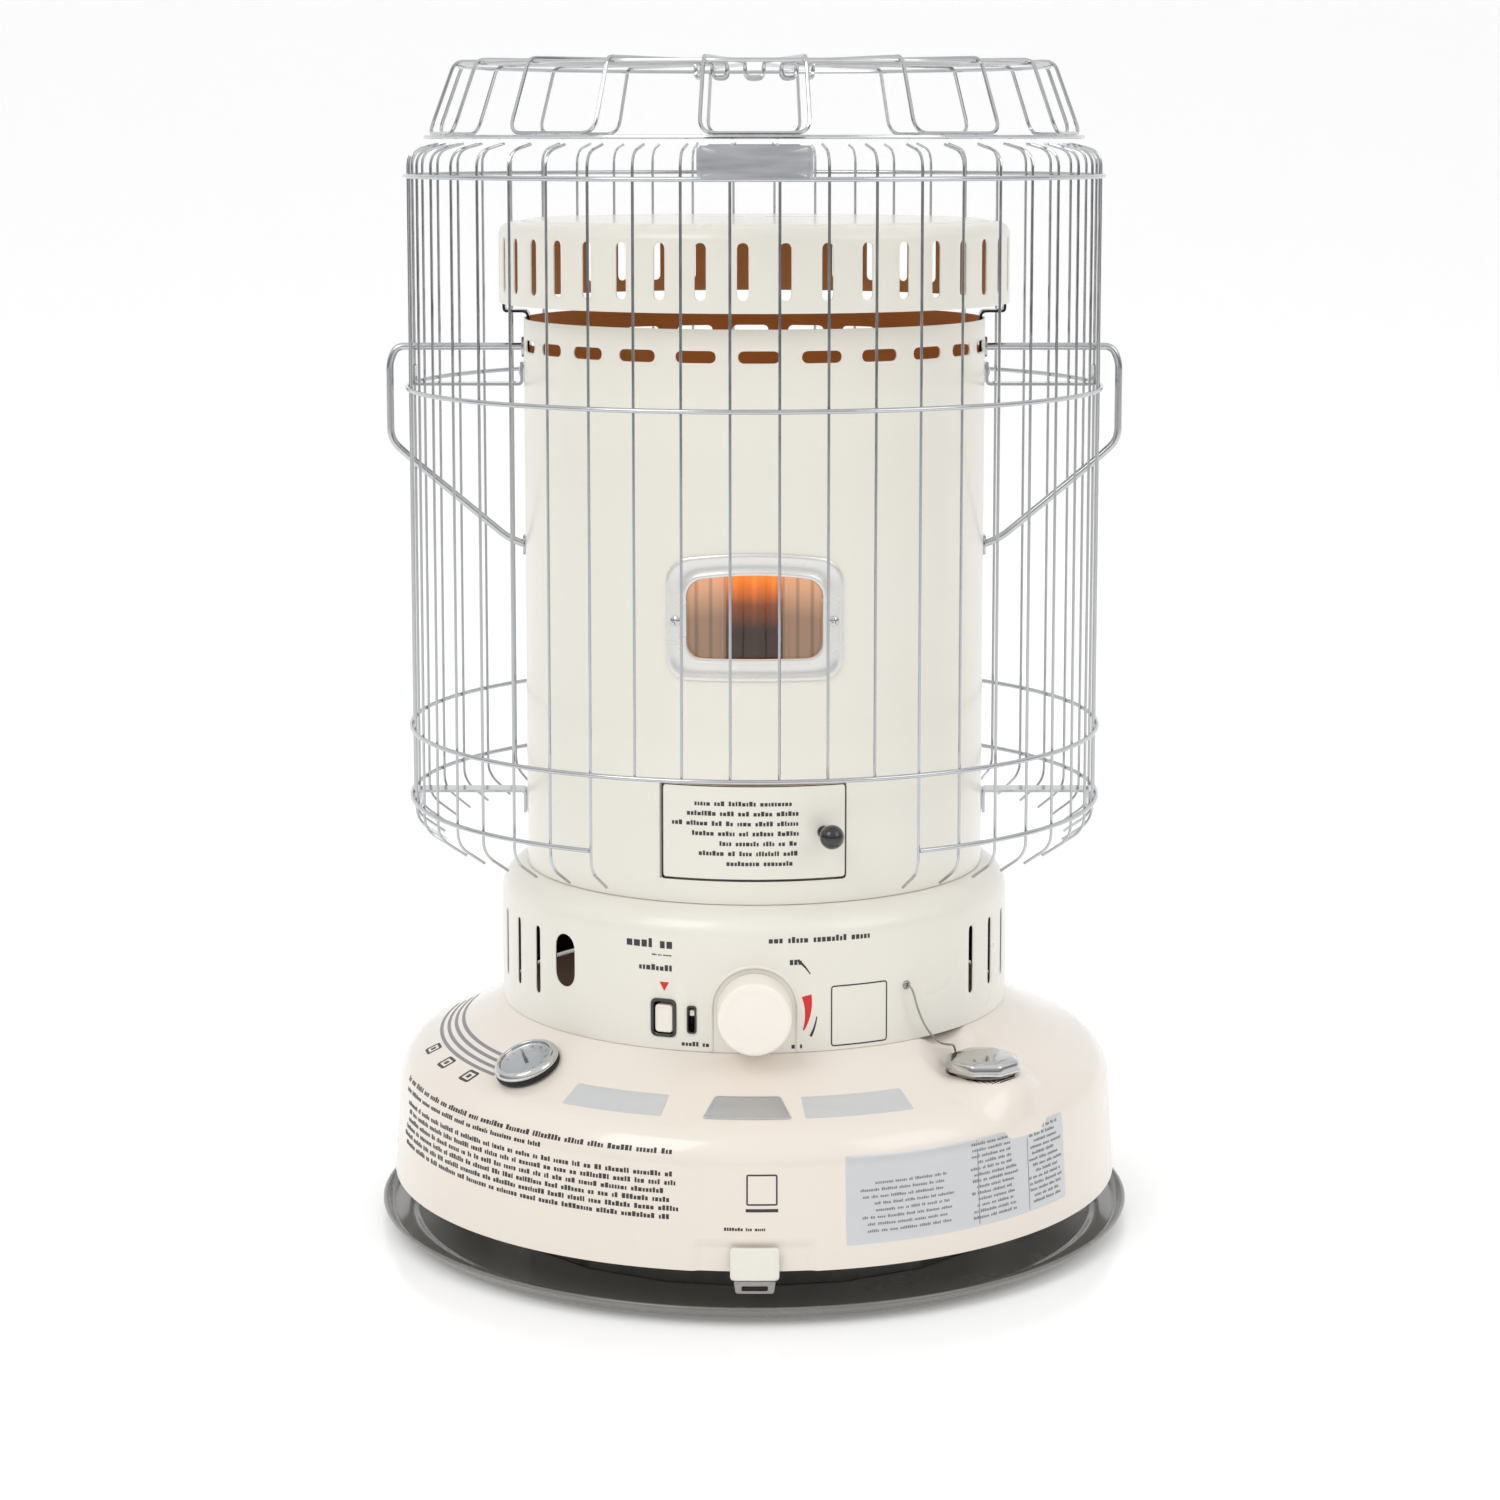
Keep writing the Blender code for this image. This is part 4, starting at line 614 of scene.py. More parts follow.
def fuelTank():
    profile = tankProfile()
    angles = np.arange(tank["columns"]) * 360 / tank["columns"]
    outer, inner = (pressed(onCircle(angles[None], path[:, :1], path[:, 1:]))
                    for path in (profile, inset(profile, tank["thick"])))
    inner[0, :, 2] = tankLow
    grid = np.concatenate([outer, inner[::-1]])
    faces = gridFaces(len(grid), tank["columns"], closedRows=True)
    paint = (np.arange(len(faces)) >= len(profile) * tank["columns"]).astype(int)
    makePiece("fuelTank", Parts().add(grid, faces, paint), [tankEnamel, paintedShadeInside], "tank_top", crease=78)


tray = {"seatIn": 14, "seatRise": 3.2, "wallIn": 6.5, "thick": 1.5, "roll": 1.25}


def dripTray():
    # dished floor, a raised seat for the tank, then the flared wall and its rolled rim
    seat, rise = tankEdge - tray["seatIn"], tray["seatRise"]
    path = [(0, 0), (seat, 0), (seat + 5, rise), (trayRadius - tray["wallIn"], rise),
            (trayRadius - 1.5, trayHigh - 1.6)]
    outer = softened(path, (0, 2, 2, 3, 0), 6)
    inner = inset(outer, tray["thick"])
    turn = np.radians(np.linspace(-70, 170, 12))
    centre = (outer[-1] + inner[-1]) / 2 + (0.2, 0.2)
    roll = np.stack([centre[0] + tray["roll"] * np.cos(turn), centre[1] + tray["roll"] * np.sin(turn)], 1)
    inner[0, 0] = 0
    outline = np.vstack([outer[:-1], roll, inner[::-1][1:]])
    makePiece("dripTray", turned(outline, 240), trayEnamel, "drip_tray")


fuelTank()
dripTray()
print("fuel tank and drip tray made")


# Pads and strips laid on a surface.
def onWall(radius):
    # along is mm round the wall from the front, up is the height, lift is off the surface
    def place(along, up, lift):
        return onCircle(np.degrees(along / radius), radius + lift, up)
    return place


def onTank(reference):
    # up is mm along the tank's profile from its bottom edge, and along is mm at the reference radius
    profile = tankProfile()
    length = np.concatenate([[0], np.cumsum(np.linalg.norm(np.diff(profile, axis=0), axis=1))])
    tangent = np.gradient(profile, length, axis=0)
    normal = np.stack([tangent[:, 1], -tangent[:, 0]], 1)

    def place(along, up, lift):
        r, z, nr, nz = (np.interp(up, length, column) for column in (*profile.T, *normal.T))
        return onCircle(np.degrees(along / reference), r + nr * lift, z + nz * lift)
    return place


def padParts(surface, outline, rings):
    # rings of (scale, lift): the outline shrunk towards its middle at each lift, both ends closed
    outline = np.asarray(outline, float)
    heart = outline.mean(0)
    grid = []
    for scale, lift in rings:
        shape = heart + (outline - heart) * scale
        grid.append(surface(shape[:, 0], shape[:, 1], lift))
    count = len(outline)
    return Parts().add(np.array(grid), gridFaces(len(rings), count).tolist() + ends(len(rings), count))


def slab(low, high, bevel=0.02, steps=5):
    # rings for an even plate from lift low to high, its upper edge eased
    scales = np.linspace(0.03, 1, steps)
    under = [(s, low) for s in scales] + [(1, high - 0.25 * (high - low))]
    return under + [(s * (1 - bevel), high) for s in scales[::-1]]


def stripParts(surface, path, half, low, high, closed=False, crown=0.0):
    # a band of half width on each side of the path, from lift low to high, its top raised by crown
    path = np.asarray(path, float)
    ahead = np.roll(path, -1, 0) - np.roll(path, 1, 0) if closed else np.gradient(path, axis=0)
    ahead /= np.linalg.norm(ahead, axis=1)[:, None]
    side = np.stack([-ahead[:, 1], ahead[:, 0]], 1)
    half = np.broadcast_to(half, len(path))[:, None]
    top = [(-0.6, high + crown * 0.7), (0, high + crown), (0.6, high + crown * 0.7)] if crown else [(0, high)]
    section = [(-1, low), (-1, high), *top, (1, high), (1, low)]
    grid = []
    for share, lift in section:
        shape = path + side * half * share
        grid.append(surface(shape[:, 0], shape[:, 1], lift))
    grid = np.array(grid).transpose(1, 0, 2)
    faces = gridFaces(len(path), len(section), closedRows=closed).tolist()
    if not closed:
        faces += ends(len(path), len(section))
    return Parts().add(grid, faces)


def line(start, end, steps=8):
    return np.linspace(start, end, steps)


def ring(centre, radius, start, end, steps=24):
    turn = np.radians(np.linspace(start, end, steps))
    return np.stack([centre[0] + radius * np.cos(turn), centre[1] + radius * np.sin(turn)], 1)


def barRows(rng, left, width, tops, half, surface, lift, indent=0.0):
    # rows of short plain blocks, standing for lines of print: words of 2 to 9 blocks, a block
    # about as wide as half its height, with a gap between words
    parts = Parts()
    for top in tops:
        x = left + rng.uniform(0, indent + 0.01)
        end = left + width - rng.uniform(0, indent + 0.01)
        while x < end - 3 * half:
            for _ in range(rng.integers(2, 10)):
                wide = half * rng.uniform(0.7, 1.5)
                if x + wide > end:
                    break
                tall = half * rng.choice((0.72, 0.78, 1.0))
                sides = np.array((x, x + wide, x + wide, x))
                levels = top - half + tall + np.array((-tall, -tall, tall, tall))
                grid = [surface(sides, levels, height) for height in lift]
                parts.add(np.array(grid), gridFaces(2, 4).tolist() + [[0, 1, 2, 3], [4, 5, 6, 7]])
                x += wide + half * 0.42
            x += half * 1.5
    return parts


lift = (0.02, 0.1)              # underside and top of a printed mark
door = {"size": (107.5, 54.7), "aside": -0.3, "printStarts": (-34.5, -39, -48, -36, -20, -32, -16),
        "printEnd": 26, "printTop": 17, "printBottom": -17.5, "printHalf": 1.35}


# Door, window and their fittings.
def lightingDoor():
    wall = onWall(chamberRadius)
    width, height = door["size"]
    leaf = outlineOf(width, height, 2.2, 40, 12) + (door["aside"], doorZ)
    makePiece("doorLeaf", padParts(wall, leaf, slab(-1.1, 0.0, 0.004, 9)), enamel, "lighting_door",
              "lighting_door")
    rng = np.random.default_rng(5)
    starts = door["printStarts"]
    tops = doorZ + np.linspace(door["printTop"], door["printBottom"], len(starts))
    rows = [barRows(rng, start, door["printEnd"] - start, [top], door["printHalf"], wall, lift)
            for start, top in zip(starts, tops)]
    makePiece("doorPrint", joined(*rows), blackInk, body="lighting_door")
    # painted shade: a thin black line round the door's edge stands for the dark seam between door and wall
    edge = outlineOf(width - 0.7, height - 0.7, 2.0, 40, 12) + (door["aside"], doorZ)
    makePiece("doorSeamShade", stripParts(wall, edge, 0.3, *lift, closed=True), blackInk, body="lighting_door")


ball = {"radius": 7.0, "reach": 9.3, "stem": 2.4, "foot": 3.6, "angle": 16.5}


def ballKnob():
    radius, stem = ball["radius"], ball["stem"]
    start = np.degrees(np.arcsin(stem / radius))
    turn = np.radians(np.linspace(-90 + start, 90, 24))
    globe = np.stack([radius * np.cos(turn), ball["reach"] + radius + radius * np.sin(turn)], 1)
    profile = np.vstack([[(0, 0.3), (ball["foot"], 0.3), (ball["foot"], 1.2), (stem, 1.8)], globe])
    makePiece("doorBall", turned(profile, 48, at(ball["angle"], chamberRadius, doorZ, 90)), blackGloss,
              "door_knob", "lighting_door")


def framed(outer, inner, section, surface):
    # section holds (share, lift) points: share 0 is the outer outline and 1 the inner one
    grid = [surface(*(outer + (inner - outer) * share).T, height) for share, height in section]
    return Parts().add(np.array(grid), gridFaces(len(section), len(outer), closedRows=True))


window = {"inner": (77.6, 45.8, 9.0, 36, 20, 4.0), "outer": (101.7, 70.0, 12.5, 36, 20, 5.0),
          "outerDrop": 0.5, "pane": (88, 57, 6, 30, 12), "paneIn": 2.2, "screwAside": 45.3, "screwDrop": 2,
          "screwRadius": 2.9}


def windowFrame():
    wall, glass = onWall(chamberRadius), onWall(chamberRadius - window["paneIn"])
    inner = outlineOf(*window["inner"]) + (0, windowZ)
    outer = outlineOf(*window["outer"]) + (0, windowZ - window["outerDrop"])
    section = [(0, 0.25), (0, 1.0), (0.04, 1.35), (0.12, 1.5), (0.2, 1.5), (0.26, 1.15), (0.78, 1.15),
               (0.84, 1.6), (0.93, 1.9), (1.0, 1.6), (1.02, 0.6), (1.0, -0.9), (0.94, -0.9), (0.9, 0.25)]
    makePiece("windowSurround", framed(outer, inner, section, wall), frameMetal, "window_frame")
    pane = padParts(glass, outlineOf(*window["pane"]) + (0, windowZ), slab(-1.0, 0.0, 0.004, 9))
    makePiece("windowPane", pane, windowGlass, "window_pane")


def screwHead(name, node, frameAt, angle=20.0):
    # dome with a cross recess: height = crown (1 - (r/R)^2) less the cross's depth where |x| or |y| is small
    radius, rings, around = window["screwRadius"], 14, 64
    r = np.linspace(0.001, 1, rings)[:, None] * radius
    turn = np.radians(np.arange(around) * 360 / around + angle)[None]
    x, y = r * np.cos(turn), r * np.sin(turn)
    cross = np.minimum(np.abs(x * np.cos(0.3) + y * np.sin(0.3)), np.abs(y * np.cos(0.3) - x * np.sin(0.3)))
    reach = smooth((0.66 * radius - r) / (0.08 * radius))
    depth = 0.75 * smooth((0.16 * radius - cross) / (0.06 * radius)) * reach
    top = 0.5 + 1.1 * (1 - (r / radius) ** 2) - depth
    side = np.stack([x[-1], y[-1], np.zeros(around)], 1)[None]
    grid = np.concatenate([np.stack([x, y, top], -1), side])
    faces = gridFaces(rings + 1, around).tolist() + ends(rings + 1, around)
    makePiece(name, Parts().add(placed(grid.reshape(-1, 3), frameAt), faces), brightChrome, node)


def windowScrews():
    for side, sign in (("left", -1), ("right", 1)):
        angle = sign * np.degrees(window["screwAside"] / chamberRadius)
        seat = at(angle, chamberRadius + 1.0, windowZ - window["screwDrop"], 90)
        screwHead(f"windowScrew{side.title()}", f"window_screw_{side}", seat, sign * 30)


glow = {"tube": 17.2, "lining": 60.0, "liningAngle": 70, "liningReach": (-70, 80),
        "tubeColours": ((0.0, "1E0D05"), (0.34, "6E340A"), (0.66, "D8720A"), (1.0, "F29416")),
        "liningPaintedLightColours": ((0.0, "8A7868"), (0.35, "BCA288"), (0.7, "E6B282"), (1.0, "F0A65C"))}


def innerGlow():
    # the hot tube and the lining that show through the window; the lining's glow, bright above and dark
    # below, is painted light from the tube
    low, high = roundSize("radiant_tube")[1:]
    r = glow["tube"]
    tube = glowMaterial("glowingTube", windowZ - 24, windowZ + 20, glow["tubeColours"], strength=1.2,
                        spacing=11.5, seam=1.3)
    outline = [(r - 1.2, low), (r, low + 1), (r, high - 1), (r - 1.2, high), (r - 2, high), (r - 2, low)]
    makePiece("radiantTube", turned(outline, 72), tube, "radiant_tube")
    # painted light: the lining glows with the tube's light, brighter towards the top
    lining = glowMaterial("liningPaintedLight", windowZ - 26, windowZ + 26, glow["liningPaintedLightColours"], strength=0.95,
                          spacing=9.0, seam=0.66)
    around = np.linspace(180 - glow["liningAngle"], 180 + glow["liningAngle"], 60)[:, None]
    front, back = (onCircle(around, radius, windowZ + np.array(glow["liningReach"])[None])
                   for radius in (glow["lining"], glow["lining"] + 1.2))
    loop = np.stack([front[:, 0], front[:, 1], back[:, 1], back[:, 0]], 1)
    faces = gridFaces(len(around), 4).tolist() + ends(len(around), 4)
    makePiece("liningBack", Parts().add(loop, faces), lining)


lightingDoor()
ballKnob()
windowFrame()
windowScrews()
innerGlow()
print("door and window made")


# Guard, crown and what is on them.
guard = {"wires": 48, "wire": 0.85, "hoop": 1.35, "hoops": (19.5, 144.0, 346.5, 389.0), "turnIn": 17.5,
         "openHalf": 26.25, "shortWires": 18.8, "half": 89.95}
hoopHeights = guardHigh - np.array(guard["hoops"])


def guardHalf(name, heart, node):
    # heart is the angle of the half's middle; wires over the front opening stop at the third hoop
    r = guardRadius
    angles = heart + (np.arange(24) - 11.5) * 360 / guard["wires"]
    low, high = guardLow + 1.0, guardHigh - 1.0
    top = [(r, high - 4.5), (r - guard["turnIn"], high)]
    full = softened([(r - guard["turnIn"], low), (r, low + 12), *top], 8.0, 6)
    short = softened([(r, hoopHeights[2] - 1.5), *top], 8.0, 6)
    isShort = np.abs(angles) < guard["shortWires"]
    found = [rods(onCircle(chosen[:, None], path[None, :, 0], path[None, :, 1]), guard["wire"])
             for path, chosen in ((full, angles[~isShort]), (short, angles[isShort])) if len(chosen)]
    ringRadius = r + guard["wire"] + guard["hoop"] - 0.5
    whole = [(heart - guard["half"], heart + guard["half"], 130)]
    split = [(-guard["half"], -guard["openHalf"], 50), (guard["openHalf"], guard["half"], 50)]
    for k, height in enumerate(hoopHeights):
        for start, end, steps in (split if k == 3 and heart == 0 else whole):
            found.append(rods([arcPath(ringRadius, height, start, end, steps)], guard["hoop"], 10))
    makePiece(name, joined(*found), chromeWire, node, weld=False)


crown = {"loops": 10, "half": 9.0, "bottomIn": 12.0, "topIn": 28.0, "hole": 35.0, "drop": 9.0, "wire": 1.15}


def crownGrille():
    bottom, top, hole = guardRadius - crown["bottomIn"], guardRadius - crown["topIn"], crown["hole"]
    low, high, angle = crownLow + 1.6, crownHigh - 1.4, crown["half"]
    r, a, z = np.array([
        (bottom - 0.6, -angle, low + 2), (bottom - 0.6, angle, low + 2), (top, angle, high),
        (hole, angle, high), (hole, angle, high - crown["drop"]), (hole, -angle, high - crown["drop"]),
        (hole, -angle, high), (top, -angle, high)]).T
    loop = softened(onCircle(a, r, z), (9, 9, 5, 5, 4, 4, 5, 5), 6, closed=True)
    turns = np.radians(np.arange(crown["loops"]) * 360 / crown["loops"])[:, None]
    x = loop[:, 0] * np.cos(turns) - loop[:, 1] * np.sin(turns)
    y = loop[:, 0] * np.sin(turns) + loop[:, 1] * np.cos(turns)
    paths = np.stack([x, y, np.broadcast_to(loop[:, 2], x.shape)], -1)
    found = [rods(paths, crown["wire"], closed=True)]
    for radius, height in ((bottom + 1.4, low), (top - 2.0, high - 2.2)):
        found.append(rods([arcPath(radius, height, 0, 358, 180)], crown["wire"], closed=True))
    makePiece("crownGrille", joined(*found), chromeWire, "crown_grille", weld=False)


plate = {"size": (62.4, 17.5), "out": 1.7, "clipSize": (16, 3.0), "clipAside": 22, "clipIn": 3.2}


def guardPlates():
    near = guardRadius + plate["out"]
    low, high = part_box("badge_plate")[0].z / mm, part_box("badge_plate")[1].z / mm
    height = (low + high) / 2
    rings = [(s, 0.0) for s in np.linspace(0.03, 1, 7)] + [(1, 1.0), (0.985, 1.3), (0.95, 1.3), (0.9, 1.3)]
    rings += [(0.885, 1.0), (0.6, 1.0), (0.3, 1.0), (0.03, 1.0)]
    for name, node, angle in (("badgePlate", "badge_plate", 0), ("rearPlate", "rear_plate", 180)):
        shift = np.radians(angle) * near
        outline = outlineOf(*plate["size"], 2.0, 26, 8) + (shift, height)
        makePiece(name, padParts(onWall(near), outline, rings), badgeMetal, node)
        # the clips are drawn as narrow upright tabs behind the plate
        tab = outlineOf(*plate["clipSize"], 1.0, 8, 4) * (0.55, 4.0)
        clips = [padParts(onWall(near - plate["clipIn"]), tab + (shift + along, height), slab(-1.0, 0.2))
                 for along in (-plate["clipAside"], plate["clipAside"])]
        makePiece(name + "Clips", joined(*clips), plainSteel)


guardHalf("guardFront", 0, "guard_front")
guardHalf("guardRear", 180, "guard_rear")
crownGrille()
guardPlates()
print("guard made")


handle = {"rod": 2.2, "reach": 13.0, "top": 23.0, "grip": 33.0, "corner": 44.0, "foot": 96.0, "pad": (16, 12)}
strap = {"thick": 1.6, "armWidth": 15, "bracketWidth": 14}


def sideHandles():
    inner, grip = chamberRadius + 0.8, guardRadius + handle["reach"]
    top, low = hoopHeights[1] + handle["top"], hoopHeights[1] - handle["foot"]
    route = [(inner, top), (grip - 4, top), (grip, top - 9), (grip, hoopHeights[1] - handle["grip"]),
             (grip - 12, hoopHeights[1] - handle["corner"]), (inner + 10, low + 4), (inner, low)]
    path = softened(route, (0, 7, 6, 7, 7, 6, 0), 7)
    for side, sign in (("Left", -1), ("Right", 1)):
        points = np.stack([sign * path[:, 0], np.zeros(len(path)), path[:, 1]], 1)
        feet = []
        for height in (top, low):
            foot = outlineOf(*handle["pad"], 3.5, 10, 6) + (sign * np.pi / 2 * chamberRadius, height)
            feet.append(padParts(onWall(chamberRadius + 0.2), foot, slab(0.0, 1.4, 0.08)))
        makePiece(f"handle{side}", joined(rods([points], handle["rod"], 14), *feet), chromeWire,
                  f"handle_{side.lower()}", weld=False)


def strapParts(path, width, angle):
    # a flat strap on the heater's side: its path in local X and Z, thickened to the left and given
    # width along local Y
    path = np.asarray(path, float)
    outline = np.vstack([path, inset(path, strap["thick"])[::-1]])
    half = width / 2 - 0.01
    grid = [np.stack([outline[:, 0], np.full(len(outline), y), outline[:, 1]], 1) for y in (-half, half)]
    count = len(outline)
    faces = gridFaces(2, count).tolist()
    for base in (0, count):
        faces += [[base + i, base + i + 1, base + count - 2 - i, base + count - 1 - i]
                  for i in range(len(path) - 1)]
    points = placed(np.concatenate(grid), at(angle) @ Matrix.Rotation(np.pi / 2, 4, "Z"))
    return Parts().add(points, faces)


def guardArms():
    near, far = chamberRadius + 0.5, guardRadius - guard["wire"] - 0.2
    for side, angle in (("left", -90), ("right", 90)):
        for level, z, way in (("upper", hoopHeights[1], -1), ("lower", hoopHeights[3], 1)):
            path = softened([(-near, z - 14 * way), (-near, z), (-far, z), (-far, z - 12 * way)], 3.0, 6)
            makePiece(f"arm{level.title()}{side.title()}", strapParts(path[::way], strap["armWidth"], angle),
                      chromeWire, f"arm_{level}_{side}")
        seat = at(angle, near + strap["thick"], hoopHeights[1] + 8, 90)
        screwHead(f"armScrew{side.title()}", f"arm_screw_{side}", seat)


def hatBrackets():
    near, far = chamberRadius - 2.0, hatRadius - 2.0
    path = softened([(-far, hatLow + 22), (-far, chamberHigh + 3), (-near, chamberHigh + 3),
                     (-near, chamberHigh - 24)], 3.0, 6)
    for side, angle in (("left", -90), ("right", 90)):
        makePiece(f"hatBracket{side.title()}", strapParts(path, strap["bracketWidth"], angle), blackGloss,
                  f"hat_bracket_{side}")


sideHandles()
guardArms()
hatBrackets()
print("handles and arms made")


# Controls.
knob = {"radius": 21.5, "back": 17, "bore": 3.3, "boreDeep": 14, "ridge": 0.22, "ridges": 36, "columns": 144}


def wickKnob():
    low, face = (-edge.y / mm for edge in reversed(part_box("wick_knob")))
    radius, steps = knob["radius"], knob["columns"]
    outer = softened([(knob["back"], low), (radius, low), (radius - 0.7, face - 1.4),
                      (radius - 4.5, face - 1.2), (radius - 6.0, face - 1.5), (6, face - 1.0),
                      (0, face - 0.9)], (0, 1.2, 3.0, 1.5, 2, 2, 0), 8)
    bore = [(0, low + knob["boreDeep"]), (knob["bore"], low + knob["boreDeep"]), (knob["bore"], low)]
    outline = np.vstack([outer, bore])
    parts = turned(outline, steps)
    grid = parts.points[0].reshape(len(outline), steps, 3)
    # shallow grip ridges on the side: depth (0.5 + 0.5 cos(count a)), faded out at both ends
    ridge = knob["ridge"] * (0.5 + 0.5 * np.cos(np.radians(np.arange(steps) * 360 / steps) * knob["ridges"]))
    side = smooth((grid[..., 2] - low - 3) / 2) * smooth((face - 5 - grid[..., 2]) / 2)
    side *= np.linalg.norm(grid[..., :2], axis=-1) > radius - 2
    grid[..., :2] *= (1 - ridge[None] * side / radius)[..., None]
    parts.points = [placed(grid.reshape(-1, 3), at(0, 0, knobZ, 90))]
    makePiece("wickKnob", parts, creamPlastic, "wick_knob", "wick_knob")


marks = {"arch": 24.6, "wedge": 30.6, "upper": 37.5, "lower": 36.0, "label": 34.6, "labelAngle": 23.1}
# left edge, height over the knob's middle, width and half height of each row of print
cabinetRows = ((8, 40, 68, 1.7), (-76, 36, 30, 2.6), (-60, 29.5, 12, 0.5), (-68, 22, 26, 1.7),
               (-42, -21, 19, 1.3), (21, -21.5, 8, 1.5), (20, 27, 7, 1.5))
cabinetDegree = cabinetRadius * np.pi / 180         # mm round the cabinet for one degree
knobAt = (0, knobZ)
buttonAt = np.array((cabinet["buttonAngle"] * cabinetDegree, buttonZ))
flagAt = np.array((cabinet["flagAngle"] * cabinetDegree, buttonZ))


def cabinetMarks():
    wall = onWall(cabinetRadius)
    reach = marks["arch"]
    arch = np.vstack([line((reach, cabinetLow + 1), (reach, knobZ - 1), 12), ring(knobAt, reach, 0, 180, 60),
                      line((-reach, knobZ - 1), (-reach, cabinetLow + 1), 12)])
    makePiece("knobArch", stripParts(wall, arch, 1.15, 0.0, 0.25, crown=0.75), enamel)
    label = outlineOf(marks["label"], marks["label"], 1.5, 10, 10)
    label += (marks["labelAngle"] * cabinetDegree, knobZ - 5.4)
    black = [stripParts(wall, ring(knobAt, marks["upper"], 32, 49, 14), np.linspace(0.3, 0.8, 14), *lift),
             stripParts(wall, ring(knobAt, marks["lower"], -27, -8, 14), np.linspace(0.8, 0.3, 14), *lift),
             stripParts(wall, label, 0.4, *lift, closed=True)]
    rng = np.random.default_rng(8)
    for left, up, width, half in cabinetRows:
        black.append(barRows(rng, left, width, [knobZ + up], half, wall, lift))
    makePiece("cabinetPrint", joined(*black), blackInk)
    wedge = stripParts(wall, ring(knobAt, marks["wedge"], -24, 14, 18), np.linspace(0.5, 2.9, 18), *lift)
    tip = buttonAt + (0.5, 15.8)
    pointer = stripParts(wall, line(tip + (0, 5), tip, 6), np.linspace(2.9, 0.15, 6), *lift)
    makePiece("redMarks", joined(wedge, pointer), redInk)


def surround(name, outer, inner, centre):
    # raised black rim of an opening, its inside running back into the cabinet
    section = [(0, 0.05), (0, 0.5), (0.15, 0.8), (0.8, 0.8), (1, 0.5), (1, -3.5), (0.5, -3.5), (0.4, 0.05)]
    rim = framed(outlineOf(*outer) + centre, outlineOf(*inner) + centre, section, onWall(cabinetRadius))
    makePiece(name, rim, blackGloss)


def shutoff():
    wall = onWall(cabinetRadius)
    surround("buttonSurround", (15.6, 22.2, 3.4, 10, 12), (12.2, 18.6, 2.4, 10, 12), buttonAt)
    face = outlineOf(10.6, 16.2, 2.0, 10, 12) + buttonAt - (0, 0.6)
    rings = [(0.05, -12), (0.6, -12), (1, -12), (1, -0.8), (0.97, -0.25), (0.9, 0.0), (0.82, 0.0),
             (0.76, -0.5), (0.5, -0.7), (0.05, -0.7)]
    makePiece("shutoffButton", padParts(wall, face, rings), creamPlastic, "shutoff_button", "shutoff_button")
    surround("flagSurround", (5.6, 16.2, 1.6, 6, 12), (3.4, 14.0, 0.9, 6, 12), flagAt)
    flag = outlineOf(3.0, 3.4, 0.6, 6, 6) + flagAt + (0, 3.6)
    rings = [(0.05, -13), (1, -13), (1, -1.2), (0.85, -0.8), (0.05, -0.8)]
    makePiece("indicatorFlag", padParts(wall, flag, rings), creamPlastic, "indicator_flag")


wickKnob()
cabinetMarks()
shutoff()
print("controls made")


# Cap, gauge and tab.
def fuelCap():
    # rounded octagon rings: the outline is scaled at each height, and turns to a circle near the middle
    turn = np.radians(np.arange(8) * 45 + 22.5)
    octagon = softened(np.stack([np.cos(turn), np.sin(turn)], 1) * cap["radius"], 2.6, 7, closed=True)
    circle = octagon / np.linalg.norm(octagon, axis=1)[:, None] * cap["radius"]
    low, high = cap["lift"], cap["lift"] + cap["height"]
    rings = [(0.7, high - 2.2), (0.7, low), (0.93, low), (0.97, low + 0.3), (1.0, low + 1.2),
             (1.0, low + 2.0), (0.965, low + 2.5), (0.955, high - 3.0), (0.93, high - 1.9), (0.8, high - 0.5),
             (0.76, high - 0.2), (0.7, high), (0.5, high + 0.4), (0.25, high + 0.7), (0.02, high + 0.8)]
    grid = []
    for scale, height in rings:
        roundness = smooth((0.72 - scale) / 0.3)
        shape = (octagon * (1 - roundness) + circle * roundness) * scale
        grid.append(np.column_stack([shape, np.full(len(shape), height)]))
    count = len(octagon)
    faces = gridFaces(len(rings), count).tolist() + ends(len(rings), count)
    points = placed(np.concatenate(grid), at(cap["angle"], cabinetRadius + cap["out"], padHeight))
    makePiece("fuelCap", Parts().add(points, faces), brightChrome, "fuel_cap", "fuel_cap", crease=50)


dial = {"angle": -46.4, "out": 26.5, "tilt": 24, "glass": 15.3, "markFrom": 11.2, "markTo": 13.4}


